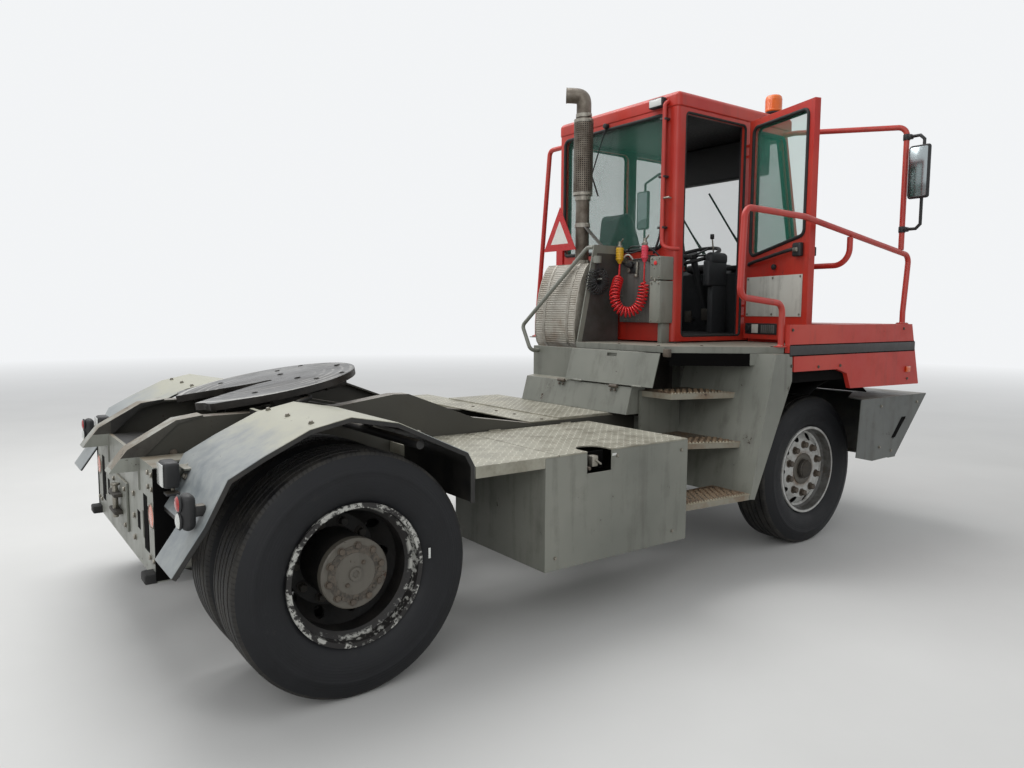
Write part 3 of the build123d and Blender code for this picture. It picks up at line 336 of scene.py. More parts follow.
def tail_zones(f, base, grime):
    """Behind its face the crossmember is painted dark as shade with some dirt in its tone, and so are the ramps'
    inner sides.
    """
    forward, across, up = f.axes(f.facing)
    x, y, z = f.axes()
    inner = (abs(across) > 0.8) * (abs(y) < 0.4325) * (x > -2.55)
    pan = (up > 0.5) * (abs(y) < 0.34) * (x > -2.545) * (z < 0.96)
    # The dark mask is painted shade: faces turned forward or down, the ramps' inner sides and the pan between them.
    dark = f.fade((forward > 0.5) + (up < -0.5) + inner + pan, 0, 1)
    sides = (abs(across) > 0.8) * (z > 0.945) * (abs(y) < 0.46)
    base = f.mix(sides, base, f.blend(grime, 0.4, 0.65, (74, 72, 66), (50, 47, 42)))
    base = f.mix((up > 0.3) * (z > 0.9) * f.fade(grime, 0.4, 0.56), base, (112, 103, 88))
    return f.mix(dark, base, f.blend(grime, 0.4, 0.7, (24, 23, 22), (44, 42, 38)))


def bracket_zones(f, base, grime):
    """The bracket's plate is painted dark as shade, its folded rear edge and the guard tube stay light."""
    x, y, z = f.axes()
    plate = ((x - (z - 1.375) * 0.214) > 0.4) * (y < 0.064) * (z < 2.0)
    # The plate's dark grey is painted shade.
    return f.mix(plate, base, f.blend(grime, 0.35, 0.6, (74, 73, 71), (58, 55, 51)))


def cab_lining(f, base, grime):
    """One solid makes the cab's walls: they are red outside, and lined in black deeper than the paint."""
    x, y, z = f.axes()
    inside = (x > 0.835) * (y > -0.395) * (y < 0.765) * ((x + (z - 1.385) * 0.238) < 2.345) * (z < 2.945)
    return f.mix(inside, base, f.blend(grime, 0.4, 0.6, (30, 31, 33), (46, 46, 48)))


guard_coat = enamel("guard_enamel", (106, 113, 117), (128, 134, 136), runs=0.3, dust=0.2, over=guard_zones)
tail_coat = enamel("tail_enamel", (146, 148, 140), (128, 129, 121), chips=0.7, over=tail_zones)
step_coat = enamel("step_enamel", *grey, chips=0.7, over=step_zones)
bracket_coat = enamel("bracket_enamel", *grey, chips=0.6, over=bracket_zones)
frame_coat = enamel("frame_enamel", (58, 57, 51), (70, 68, 60), chips=0.9, runs=0.4, over=rail_zones)
cab_coat = enamel("cab_enamel", *red, chips=0.25, runs=0.3, dust=0.15, rough=0.38, over=cab_lining)

# %% Rubber and wheels
f = Finish("tyre_rubber", Specular_IOR_Level=0.35)
radius, angle, y = from_axle(f)
sipes, rings = (angle * 150 + y * 90).sine(), (radius * 520).sine()
grime = f.noise(11, 8, 0.65)
tread = radius > 0.4935
side = f.fade(radius, 0.33, 0.36) * f.fade(radius, 0.47, 0.455)
base = f.blend(grime, 0.35, 0.7, (15, 16, 19), (27, 28, 31))
base = f.mix(f.fade(grime + tread * 0.3, 0.62, 0.95) * 0.4, base, (78, 74, 66))
relief = tread * f.fade(sipes, 0.75, 0.95) * -1.6 + side * f.fade(rings, 0.4, 0.9) * 0.18 + grime * 0.25
tyre_rubber = f.done(base, f.gloss(grime, 0.2, 0.52), relief, 0.003, 0.8)

f = Finish("rear_wheel_black")
radius, _, y = from_axle(f)
grime, fine = f.noise(10, 9, 0.7), f.noise(60, 6, 0.6)
white = f.blend(grime * 0.7 + fine * 0.3, 0.46, 0.5, (176, 176, 170), (30, 28, 27))
base = f.blend(grime, 0.4, 0.6, (12, 12, 12), (30, 27, 24))
base = f.mix(f.fade(radius, 0.262, 0.272) * (abs(y) > 1.13), base, white)
base = f.mix(f.fade(radius, 0.15, 0.146) * (abs(y) > 1.17), base, f.blend(fine, 0.4, 0.6, (58, 54, 48), (88, 80, 70)))
rear_wheel_black = f.done(base, f.gloss(grime, 0.2, 0.5), fine + grime, 0.003)

f = Finish("front_wheel_silver")
radius, angle, y = from_axle(f)
grime, fine = f.noise(12, 9, 0.7), f.noise(80, 6, 0.6)
hole_ring = 0.226
fold = abs((angle * (5 / math.pi) + 10.5).fract() - 0.5) * (hole_ring * math.pi / 5)
hole = ((radius - hole_ring) * (radius - hole_ring) + fold * fold) < 0.00066
base = f.blend(grime, 0.4, 0.7, (196, 197, 194), (156, 154, 148))
base = f.mix(f.fade(radius, 0.14, 0.11) * f.fade(grime, 0.35, 0.6), base, (112, 92, 74))
# The barrel's inside is darker: partly dirt, partly painted shade.
base = f.mix(f.within(radius, 0.262, 0.284), base, f.blend(grime, 0.4, 0.6, (104, 104, 102), (74, 72, 68)))
# The ring of near-black holes is painted, and their black is painted shade.
base = f.mix(hole, base, (7, 7, 7))
base = f.mix(f.fade(fine * 0.5 + grime * 0.5, 0.6, 0.64), base, rust_brown)
front_wheel_silver = f.done(base, f.gloss(grime, 0.2, 0.4), fine, 0.002, 0.5)

# %% Grease, sheet, hot steel and the reflecting triangle
plate_x = rear_x + 0.075
f = Finish("greased_plate", Metallic=0.35)
grime, fine, broad = f.noise(7, 9, 0.7), f.noise(120, 6), f.noise(2.2, 4)
smear_and_sheen = f.noise(1, 8, 0.6, at=f.place(size=(0.6, 0.05, 0.3)))
up = f.up()
x, y, z = f.axes()
reach = f.length((x - plate_x) * math.sqrt(1.03), y)
streaks = f.fade((reach * 130 + grime * 6).sine(), 0.35, 0.95) * f.fade(grime, 0.42, 0.6) * f.fade(reach, 0.2, 0.3)
rim = f.fade(reach, 0.444, 0.45) * (reach < 0.47)
base = f.blend(grime, 0.35, 0.6, (20, 19, 18), (48, 44, 40))
# Grey patches on what faces up are grease rubbed thin with painted sheen in them; the bright rim line is wear with a
# painted highlight, the streaks are wear.
base = f.mix(f.fade(smear_and_sheen * 0.5 + broad * 0.5, 0.48, 0.62) * (up > 0.8), base, (96, 96, 96))
base = f.mix(f.fade(streaks * 0.75 + rim, 0, 1) * (up > 0.6), base, (158, 157, 152))
greased_plate = f.done(base, f.gloss(smear_and_sheen, 0.3, 0.22), fine * 0.4 + grime, 0.002, 0.7)

f = Finish("silencer_sheet", Metallic=0.2)
grime = f.noise(7, 9, 0.7)
base = f.blend(grime, 0.35, 0.65, (170, 166, 157), (146, 139, 127))
base = f.mix(f.fade(grime - f.axes()[2] * 0.35, -0.02, 0.16) * 0.5, base, (120, 104, 88))
silencer_sheet = f.done(base, f.gloss(grime, 0.25, 0.38), f.noise(90, 4), 0.001, 0.5)

f = Finish("stack_steel", Metallic=0.55)
grime = f.noise(9, 9, 0.7)
base = f.blend(grime, 0.35, 0.65, (122, 115, 105), (84, 74, 64))
stack_steel = f.done(base, f.gloss(grime, 0.25, 0.36), grime, 0.003)

f = Finish("reflector_triangle")
x, y, z = f.axes()
lean, inset = 0.185 / 0.32, 0.05
middle = (z > 2.035 + inset) * ((abs(y - 0.435) + (z - 2.355) * lean) < -inset * 1.155)
bead = f.noise(240, 2)
base = f.mix(middle * (f.axes(f.facing)[0] < -0.5), (178, 22, 24), (216, 214, 208))
base = f.mix(f.fade(f.noise(9, 8, 0.7), 0.55, 0.75) * 0.4, base, dust_tan)
triangle_face = f.done(base, f.gloss(bead, 0.1, 0.22), bead, 0.0004, 0.5)

# %% [markdown]
# ## Softened edges on the frame's parts
# Folded and welded steel never has razor edges, and the light that a rounded edge catches is what tells metal
# from card. The frame's meshes stay as they are: live modifiers weld them, merge flat faces, round the sharp
# edges and weight the normals towards the large faces.

# %% Give each frame part its finish and its edges
coats = {
    guard_coat: "mudguard_left mudguard_right", tail_coat: "rear_crossmember",
    grey_coat: "side_box_right fuel_tank_left deck_housing deck_flap upper_deck service_panel",
    bracket_coat: "silencer_bracket",
    frame_coat: "chassis_frame lift_boom",
    step_coat: "steps_right", deck_plate: "deck_plates side_box_lid",
    red_coat: "front_body_right front_body_left front_grille cab_roof door",
    cab_coat: "cab_shell", beacon_amber: "beacon",
    rail_coat: "handrail_right handrail_left", bumper_coat: "front_bumper",
    cast_iron: "front_axle knuckle_left knuckle_right rear_axle propeller_shaft engine_block",
    black_coat: "lift_cylinder_barrels mirrors lamps", steel_rod: "lift_cylinder_rods",
    greased_plate: "coupling_plate", front_wheel_silver: "front_rim_left front_rim_right",
    rear_wheel_black: "rear_rims_left rear_rims_right", green_glass: "cab_windows", clear_glass: "door_window",
    moulding: "seat_base steering_wheel", console_grey: "dashboard", silencer_sheet: "silencer",
    stack_steel: "exhaust_stack", triangle_face: "marker_triangle",
}
edge_widths = {"silencer": 0.02, "mirrors": 0.012, "dashboard": 0.02, "seat_base": 0.012, "front_bumper": 0.005,
               "cab_shell": 0.006, "cab_roof": 0.01, "door": 0.006, "front_body_right": 0.008,
               "front_body_left": 0.008, "engine_block": 0.01, "fuel_tank_left": 0.004}
no_edges = "cab_windows door_window front_rim_left front_rim_right rear_rims_left rear_rims_right marker_triangle"
for finish, names in coats.items():
    for name in names.split():
        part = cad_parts[name]
        part.data.materials.clear()
        part.data.materials.append(finish)
        if name in no_edges.split():
            continue
        part.modifiers.new("weld", "WELD").merge_threshold = 0.0001
        flat = part.modifiers.new("flat", "DECIMATE")
        flat.decimate_type, flat.angle_limit = "DISSOLVE", 0.02
        edge = part.modifiers.new("edge", "BEVEL")
        edge.width, edge.segments = edge_widths.get(name, 0.003), 2
        edge.limit_method, edge.angle_limit = "ANGLE", 0.6
        part.modifiers.new("shade", "WEIGHTED_NORMAL")
print("finished", sum(len(names.split()) for names in coats.values()), "frame parts")

# %% [markdown]
# ## A small workshop
# Every new piece starts as a primitive, gets its shape in edit mode and its rounding from a modifier that is
# applied at once. These few helpers hold the steps that all of them share.

# %% Workshop helpers
bench = []


def only(*pieces):
    bpy.ops.object.select_all(action="DESELECT")
    for piece in pieces:
        piece.select_set(True)
    bpy.context.view_layer.objects.active = pieces[0]
    return pieces[0]


def settle(piece, finish=None):
    """Puts the piece's place into its mesh and applies its modifiers."""
    only(piece)
    bpy.ops.object.transform_apply(location=True, rotation=True, scale=True)
    for modifier in list(piece.modifiers):
        bpy.ops.object.modifier_apply(modifier=modifier.name)
    if finish:
        piece.data.materials.clear()
        piece.data.materials.append(finish)
    return piece


def laid(piece):
    """Lays a piece on the bench, where fitted finds it."""
    bench.append(piece)
    return piece


def rounded(piece, width, segments=2):
    if width > 0:
        edge = piece.modifiers.new("edge", "BEVEL")
        edge.width, edge.segments, edge.limit_method, edge.angle_limit = width, segments, "ANGLE", 0.6
    return settle(piece)


def block(low, high, finish, edge=0.003, segments=2):
    low, high = Vector(low), Vector(high)
    bpy.ops.mesh.primitive_cube_add(size=1, location=(low + high) / 2, scale=high - low)
    return laid(settle(rounded(settle(bpy.context.object), edge, segments), finish))


def plank(x0, x1, y, half, z0, z1, finish, edge=0.003, segments=2):
    """A block that lies evenly about its Y."""
    return block((x0, y - half, z0), (x1, y + half, z1), finish, edge, segments)


def bar(start, end, radius, finish, edge=0.002, sides=24):
    """A round bar from one point to another."""
    start, way = Vector(start), Vector(end) - Vector(start)
    bpy.ops.mesh.primitive_cone_add(
        vertices=sides, radius1=radius, radius2=radius, depth=way.length,
        location=start + way / 2, rotation=way.to_track_quat("Z", "Y").to_euler())
    return laid(settle(rounded(settle(bpy.context.object), edge), finish))


def outline(points):
    """A chain of edges through the points, drawn as by hand: one vertex, then extruded from each to the next."""
    bpy.ops.object.select_all(action="DESELECT")
    bpy.ops.mesh.primitive_plane_add(size=0.01, location=(0, 0, 0))
    piece = bpy.context.object
    bpy.ops.object.mode_set(mode="EDIT")
    bpy.ops.mesh.merge(type="CENTER")
    bpy.ops.transform.translate(value=points[0])
    for before, after in zip(points, points[1:]):
        step = [b - a for a, b in zip(before, after)]
        bpy.ops.mesh.extrude_vertices_move(TRANSFORM_OT_translate={"value": step})
    bpy.ops.mesh.select_all(action="SELECT")
    return piece


def closed_up(piece, sides):
    """Closes the holes of the mesh in edit mode, turns its faces outwards and leaves edit mode."""
    if sides is not None:
        bpy.ops.mesh.fill_holes(sides=sides)
    bpy.ops.mesh.normals_make_consistent(inside=False)
    bpy.ops.object.mode_set(mode="OBJECT")
    return piece


def turned(profile, centre, axis, finish, steps=48):
    """A turned piece: a profile of (radius, distance along the axis), spun a full turn about the centre.

    A profile that comes back to its first point makes a hollow ring, any other one is closed by a flat end.
    """
    axis = Vector(axis).normalized()
    out = axis.orthogonal().normalized()
    piece = outline([tuple(Vector(centre) + out * r + axis * d) for r, d in profile])
    bpy.ops.mesh.spin(steps=steps, angle=2 * math.pi, center=centre, axis=axis)
    bpy.ops.mesh.select_all(action="SELECT")
    bpy.ops.mesh.remove_doubles(threshold=1e-5)
    return laid(settle(closed_up(piece, None if profile[0] == profile[-1] else steps + 1), finish))


def collar(inner, outer, start, end, centre, axis, finish, steps=48):
    """A ring with a square section."""
    return turned([(inner, start), (outer, start), (outer, end), (inner, end), (inner, start)], centre, axis, finish,
                  steps)


def slab(points, y0, y1, finish):
    """A closed section in X and Z, extruded from one Y to another and capped."""
    piece = outline([(p[0], y0, p[1]) for p in points] + [(points[0][0], y0, points[0][1])])
    bpy.ops.mesh.remove_doubles(threshold=1e-5)
    bpy.ops.mesh.select_all(action="SELECT")
    bpy.ops.mesh.extrude_edges_move(TRANSFORM_OT_translate={"value": (0, y1 - y0, 0)})
    bpy.ops.mesh.select_all(action="SELECT")
    return laid(settle(closed_up(piece, 0), finish))


def lay_spline(curve, points, smooth=True, closed=False, resolution=8):
    curve.splines.clear()
    spline = curve.splines.new("NURBS" if smooth else "POLY")
    spline.points.add(len(points) - 1)
    for point, place in zip(spline.points, points):
        point.co = (*place, 1)
    spline.use_cyclic_u = closed
    if smooth:
        spline.order_u, spline.use_endpoint_u, spline.resolution_u = 3, not closed, resolution


def drawn(points, radius, finish, sides, **spline):
    """A curve through the points with a round section."""
    bpy.ops.object.select_all(action="DESELECT")
    bpy.ops.curve.primitive_nurbs_path_add(location=(0, 0, 0))
    piece = bpy.context.object
    lay_spline(piece.data, points, **spline)
    piece.data.bevel_depth, piece.data.bevel_resolution, piece.data.use_fill_caps = radius, sides, True
    piece.data.materials.append(finish)
    return piece


def pipe(points, radius, finish, smooth=False, closed=False, sides=4):
    """A bent bar or hose along the points, drawn as a curve and turned into a mesh."""
    only(drawn(points, radius, finish, sides, smooth=smooth, closed=closed))
    bpy.ops.object.convert(target="MESH")
    return laid(settle(bpy.context.object, finish))


def hose(points, radius, finish, sides=4):
    return pipe(points, radius, finish, smooth=True, sides=sides)


def joined(name, pieces):
    only(*pieces)
    if len(pieces) > 1:
        bpy.ops.object.join()
    piece = bpy.context.object
    piece.name = piece.data.name = name
    return piece


def fitted(name, body, *stands_for, angle=38, x=0.0, y=0.0):
    """Joins all that lies on the bench under one name, moves it by x and y and lets it ride on its body."""
    piece = joined(name, bench)
    bench.clear()
    piece.location = (x, y, 0)
    settle(piece)
    bpy.ops.object.shade_smooth_by_angle(angle=math.radians(angle))
    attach(piece, body)
    if stands_for:
        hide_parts(*stands_for)
    print(name, len(piece.data.polygons), "faces, size", [round(v, 2) for v in piece.dimensions])


def copies(master, places):
    """Lays a copy of the piece, with its own mesh, at each of the offsets, in place of the piece itself."""
    for place in places:
        only(master)
        bpy.ops.object.duplicate(linked=False)
        copy = laid(bpy.context.object)
        copy.location = place
        settle(copy)
    bench.remove(master)
    bpy.data.objects.remove(master)


# %% [markdown]
# ## Camera, floor and light
# The camera stands where the photographer stood: behind the tractor on its right side, a little above the deck.
# It is set first, because it decides what must be right. The floor is pale and plain, and the light is that of a
# white overcast sky with one large soft lamp above.

# %% Camera
yaw, pitch, roll = 0.6332, 0.0926, -0.0063
eye = Vector((-3.198, -4.022, 1.575))
ahead = Vector((math.sin(yaw) * math.cos(pitch), math.cos(yaw) * math.cos(pitch), -math.sin(pitch)))
level = Vector((math.cos(yaw), -math.sin(yaw), 0))
down = ahead.cross(level)
right = level * math.cos(roll) + down * math.sin(roll)
up = ahead.cross(right) * -1
bpy.ops.object.camera_add(location=eye)
camera = bpy.context.object
camera.rotation_euler = Matrix([right, up, -ahead]).transposed().to_euler()
film_mm, focal_pixels, photo_pixels = 36, 767.4, 1024
camera.data.sensor_width = film_mm
camera.data.lens = film_mm * focal_pixels / photo_pixels
camera.data.clip_end = 200
bpy.context.scene.camera = camera

# %% Floor and sky
sky_white = (0.97, 0.985, 1.0, 1)
bpy.ops.mesh.primitive_plane_add(size=160, location=(0, 0, 0))
floor = bpy.context.object
floor.name = "studio_floor"
f = Finish("studio_floor", Roughness=0.85)
f.feed(Base_Color=f.blend(f.noise(0.8, 6), 0.3, 0.7, (206, 206, 204), (212, 212, 210)))
x, y, z = f.axes()
far = f.fade(f.length(x, y), 6, 24) * f.node("LightPath", out="Is Camera Ray")
haze = f.node("Emission", None, {"Color": sky_white, "Strength": 0.92})
blend = f.node("MixShader", None, {0: far, 1: Wire(f, f.shader.outputs[0]), 2: haze})
f.plug(f.tree.nodes["Material Output"], {"Surface": blend})
floor.data.materials.append(f.material)
scene = bpy.context.scene
scene.view_settings.view_transform = "Standard"
scene.world = bpy.data.worlds.new("overcast")
scene.world.use_nodes = True
sky = Nodes(scene.world.node_tree)
camera_ray, glossy_ray, through_ray = [sky.node("LightPath", out=f"Is {ray} Ray")
                                       for ray in ("Camera", "Glossy", "Transmission")]
seen = camera_ray.math("MAXIMUM", camera_ray, glossy_ray)
seen = seen.math("MAXIMUM", seen, through_ray)
strength = sky.node("MapRange", None, {"Value": seen, "To Min": 0.55, "To Max": 0.92})
sky.plug(sky.tree.nodes["Background"], {"Color": sky_white, "Strength": strength})
for place, aim, size, power in (
        ((-1.5, 3.0, 8.5), (0, 0, 0.8), 7.0, 620), ((-7.0, -6.5, 5.0), (0, 0, 0.9), 6.0, 170)):
    bpy.ops.object.light_add(type="AREA", location=place)
    lamp = bpy.context.object
    lamp.data.size, lamp.data.energy = size, power
    lamp.rotation_euler = (Vector(aim) - Vector(place)).to_track_quat("-Z", "Y").to_euler()

# %% [markdown]
# ## Tyres
# Truck tyres have a flat tread with a few straight grooves, a rounded shoulder and a bulging side that bends in to
# the rim. The section is drawn once as a half, mirrored in numbers, and spun about the axle.

# %% Turn the six tyres
half_section = [
    (0.2885, 0.101), (0.303, 0.106), (0.313, 0.115), (0.322, 0.124), (0.340, 0.133), (0.372, 0.1425),
    (0.400, 0.146), (0.424, 0.1455), (0.428, 0.1468), (0.434, 0.1465), (0.438, 0.1445), (0.458, 0.139),
    (0.472, 0.133), (0.486, 0.126), (0.498, 0.120), (0.5055, 0.112), (0.5082, 0.100), (0.5085, 0.091),
    (0.4975, 0.0885), (0.4975, 0.0805), (0.5090, 0.078), (0.5095, 0.060), (0.5096, 0.042), (0.4978, 0.0395),
    (0.4978, 0.0315), (0.5097, 0.029), (0.51, 0.014), (0.51, 0.0045), (0.4995, 0.003)]
section = half_section + [(r, -d) for r, d in reversed(half_section)] + half_section[:1]
for name, x, rows in (("front", front_x, (0.905,)), ("rear", rear_x, (0.765, 1.1))):
    for side_name, sign in (("left", 1), ("right", -1)):
        word = "tyre" if name == "front" else "tyres"
        body = f"{name}_wheel{'s' if name == 'rear' else ''}_{side_name}"
        for y in rows:
            turned(section, (x, sign * y, wheel_z), (0, 1, 0), tyre_rubber, steps=96)
        fitted(f"{name}_tread_{side_name}", body, f"{name}_{word}_{side_name}", angle=30)

# %% [markdown]
# ## Curly air hose
# The red air line between its two couplings is a coil of thin hose that hangs in a U. Its route is a smooth
# curve under its own weight, and the turns are wound round points that are read back from that curve.

# %% Cord helpers


def route_line(points):
    """Evenly read points of a smooth curve that has the given control points."""
    curve = bpy.data.curves.new("route", "CURVE")
    curve.dimensions = "3D"
    lay_spline(curve, points, resolution=24)
    holder = bpy.data.objects.new("route", curve)
    line = [v.co.copy() for v in bpy.data.meshes.new_from_object(holder).vertices]
    bpy.data.objects.remove(holder)
    return line


def helix(line, pitch, reach, start, end, per_turn=12):
    """Points wound round a line, with its own ends before the start and after the end."""
    lengths = [0.0]
    for a, b in zip(line, line[1:]):
        lengths.append(lengths[-1] + (b - a).length)
    total, points, i = lengths[-1], [], 0
    across = (line[1] - line[0]).orthogonal().normalized()
    count = int((total - start - end) / pitch * per_turn)
    for k in range(count + 1):
        s = start + (total - start - end) * k / count
        while i < len(line) - 2 and lengths[i + 1] < s:
            i += 1
        way = (line[i + 1] - line[i]).normalized()
        centre = line[i].lerp(line[i + 1], (s - lengths[i]) / (lengths[i + 1] - lengths[i]))
        across = (across - way * across.dot(way)).normalized()
        grow = min(1.0, (s - start) / (pitch * 1.5), (total - end - s) / (pitch * 1.5))
        a = 2 * math.pi * k / per_turn
        points.append(centre + (across * math.cos(a) + way.cross(across) * math.sin(a)) * reach * grow)
    return [line[0], line[0].lerp(points[0], 0.5), *points, points[-1].lerp(line[-1], 0.5), line[-1]]


def curly_cord(name, node, route, radius, finish, *winding):
    turns = helix(route_line(route), *winding)
    cord = drawn(turns, radius, finish, 2, resolution=2)
    cord.name = cord.data.name = name
    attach(cord, "chassis")
    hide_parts(node)
    line = route_line(turns)


# %% Wind the red hose
hose_x, red_y, coupling_z = 0.704, -0.245, 1.93
curly_cord("curly_air_hose", "air_hose", [
    (hose_x, 0, coupling_z), (hose_x, 0, 1.862), (0.639, -0.05, 1.795), (0.569, -0.088, 1.71),
    (0.576, -0.105, 1.622), (0.624, -0.15, 1.575), (0.682, -0.205, 1.6), (hose_x, -0.236, 1.69),
    (hose_x, red_y, 1.808), (hose_x, red_y, coupling_z)], 0.0055, red_plastic, 0.0225, 0.0345, 0.1, 0.13)

# %% [markdown]
# ## Curly electric cable
# The black cable is wound just as tightly, hangs in a ring over a peg and goes back into the plate behind it.

# %% Wind the black cable
ring = Vector((0.499, 0.008, 1.8))
ring_points = [tuple(ring + Vector((0.062 * math.sin(a), 0, 0.062 * math.cos(a))))
               for a in [math.radians(20 + 320 * i / 12) for i in range(13)]]
curly_cord("curly_electric_cable", "electric_cable", [
    (0.499, 0.008, 1.925), (0.5, 0.008, 1.895), *ring_points, (0.47, 0.04, 1.862), (0.47, 0.0515, 1.862)],
    0.0028, cable_black, 0.0165, 0.039, 0.035, 0.03)

# %% [markdown]
# ## Seat
# The driver's seat is a padded cushion and a taller back in dark woven cloth. Each starts as a box a little
# smaller than the place it fills, is remeshed fine, and is blown up against its own cloth by simulation.

# %% Seat cloth and cushions
f = Finish("seat_cloth", Sheen_Weight=0.3)
x, y, z = f.axes()
weave = (((x + z) * 1900).sine() + (y * 1900).sine()) * 0.5
worn = f.blend(f.noise(9, 7, 0.6) + weave * 0.1, 0.35, 0.7, (28, 30, 36), (52, 55, 62))
seat_cloth = f.done(worn, 0.9, weave, 0.0006, 0.8)


def cushion(name, low, high, lean, node, cap=0.02, narrow=0.0):
    low, high = Vector(low), Vector(high)
    bpy.ops.mesh.primitive_cube_add(size=1, location=(low + high) / 2, scale=high - low)
    piece = rounded(settle(bpy.context.object), 0.03, 3)
    remesh = piece.modifiers.new("fine", "REMESH")
    remesh.mode, remesh.voxel_size = "VOXEL", 0.009
    settle(piece)
    rest = [v.co.copy() for v in piece.data.vertices]
    cloth = piece.modifiers.new("cloth", "CLOTH")
    cloth.settings.use_pressure, cloth.settings.uniform_pressure_force = True, 4
    cloth.settings.effector_weights.gravity = 0
    cloth.settings.quality = 5
    for step in range(1, 17):
        bpy.context.scene.frame_set(step)
    graph = bpy.context.evaluated_depsgraph_get()
    blown = [v.co.copy() for v in piece.evaluated_get(graph).data.vertices]
    piece.modifiers.remove(cloth)
    bpy.context.scene.frame_set(1)
    for vertex, a, b in zip(piece.data.vertices, rest, blown):
        move = b - a
        vertex.co = a + move * min(1.0, cap / max(move.length, 1e-6))
    middle = (low + high) / 2
    for vertex in piece.data.vertices:
        share = (vertex.co.z - low.z) / (high.z - low.z)
        vertex.co.x -= lean * share
        vertex.co.y = middle.y + (vertex.co.y - middle.y) * (1 - narrow * max(0.0, share - 0.45) / 0.55)
    soft = piece.modifiers.new("soft", "SMOOTH")
    soft.factor, soft.iterations = 0.5, 4
    settle(piece, seat_cloth)
    piece.name = piece.data.name = name
    bpy.ops.object.shade_smooth()
    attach(piece, "chassis")
    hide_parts(node)


seat_mid = 0.26
cushion("seat_pad", (0.93, seat_mid - 0.23, 1.772), (1.385, seat_mid + 0.23, 1.868), 0.0, "seat_cushion")
cushion("seat_backrest", (0.93, seat_mid - 0.215, 1.9), (1.005, seat_mid + 0.215, 2.325), 0.055, "seat_back",
        cap=0.014, narrow=0.38)

# %% [markdown]
# ## Bolts and nuts
# A vehicle is held together by hundreds of hexagon heads. One head with its washer is modelled at the origin,
# facing the right way, and every copy then gets its own mesh at its own place.

# %% Bolt maker


def bolts(places, way, size, finish=zinc, tall=0.7):
    """Hexagon heads on washers at each place, all facing along one way. Size is the head's radius."""
    way = Vector(way).normalized()
    turn = way.to_track_quat("Z", "Y").to_euler()
    bpy.ops.mesh.primitive_cylinder_add(
        vertices=6, radius=size, depth=size * tall, rotation=turn, location=way * size * (0.2 + tall / 2))
    head = rounded(settle(bpy.context.object), size * 0.1, 1)
    bpy.ops.mesh.primitive_cylinder_add(
        vertices=16, radius=size * 1.3, depth=size * 0.4, rotation=turn, location=(0, 0, 0))
    copies(laid(settle(joined("bolt", [head, bpy.context.object]), finish)), places)


def ring_places(centre, radius, count, turn=0.0):
    """Places on a circle that stands upright across the tractor, as on a wheel."""
    x, y, z = centre
    steps = [math.radians(turn + 360 * i / count) for i in range(count)]
    return [(x + radius * math.cos(a), y, z + radius * math.sin(a)) for a in steps]


# %% [markdown]
# ## Wheel centres
# The driven rear hub sticks far out of its deep dish, with ten bolts round a plug on its face. The front wheel
# has ten nuts on long studs round a small domed cap. The plug, the cap and the collars are turned.

# %% Dress the hubs
for side_name, sign in (("left", 1), ("right", -1)):
    face = sign * 1.18
    out = (0, sign, 0)
    turned([(0.147, -0.03), (0.147, 0.003), (0.142, 0.007), (0.09, 0.007), (0.086, 0.011), (0.03, 0.011),
            (0.028, 0.019), (0.016, 0.019), (0.012, 0.012), (0, 0.012)], (rear_x, face, wheel_z), out, hub_grey, 48)
    bolts(ring_places((rear_x, face + sign * 0.007, wheel_z), 0.117, 10, 12), out, 0.0135, rusty_nut)
    bolts(ring_places((rear_x, face + sign * 0.011, wheel_z), 0.055, 2, 50), out, 0.008, rusty_nut)
    bolts(ring_places((rear_x, sign * 0.9465, wheel_z), 0.168, 10), out, 0.018, cast_iron, 1.4)
    fitted(f"rear_hub_{side_name}", f"rear_wheels_{side_name}")
    face = sign * 0.981
    turned([(0.062, 0.0), (0.0645, 0.004), (0.0645, 0.024), (0.056, 0.035), (0.03, 0.041), (0, 0.042)],
           (front_x, face, wheel_z), out, cast_iron, 40)
    turned([(0.108, -0.012), (0.108, 0.002), (0.103, 0.005), (0.075, 0.0045), (0.07, 0.0015), (0.06, 0.001)],
           (front_x, face, wheel_z), out, hub_grey, 40)
    # A thin near-black cone over the disc's ring of holes is painted shade.
    turned([(0.196, 0.0575), (0.201, 0.0575), (0.2535, 0.0195), (0.2535, 0.0185), (0.196, 0.0565), (0.196, 0.0575)],
           (front_x, sign * 0.905, wheel_z), out, shade_and_soot, 40)
    bolts(ring_places((front_x, sign * 0.979, wheel_z), 0.168, 10, 18), out, 0.021, rusty_nut, 1.3)
    bar((front_x - 0.21, sign * 0.965, wheel_z - 0.1), (front_x - 0.235, sign * 1.0, wheel_z - 0.115), 0.005,
        rusty_nut, 0.001, 10)
    fitted(f"front_hub_{side_name}", f"front_wheel_{side_name}")
block((0.312, -1.2445, 0.53), (0.322, -1.2425, 0.575), white_lens, 0.0005)
fitted("tyre_chalk_mark", "rear_wheels_right", x=rear_x)

# %% [markdown]
# ## Coupling plate
# The fifth wheel is a greased steel casting. Its rim is chamfered, its horns slope down so that a trailer rides
# up on them, a latch closes round the kingpin pocket, and a long release handle comes out at the right.

# %% Fit the coupling's latch, handle and pins
pivot_z, tilt = 1.085, math.radians(10)


def on_coupling(x, y, z):
    """A point that is measured on the level plate, from its pivot, as it lies when tilted back."""
    return (plate_x + x * math.cos(tilt) - z * math.sin(tilt), y, pivot_z + x * math.sin(tilt) + z * math.cos(tilt))


def tilted_block(low, high, finish, edge=0.004):
    piece = block(low, high, finish, edge)
    for vertex in piece.data.vertices:
        vertex.co = on_coupling(*vertex.co)


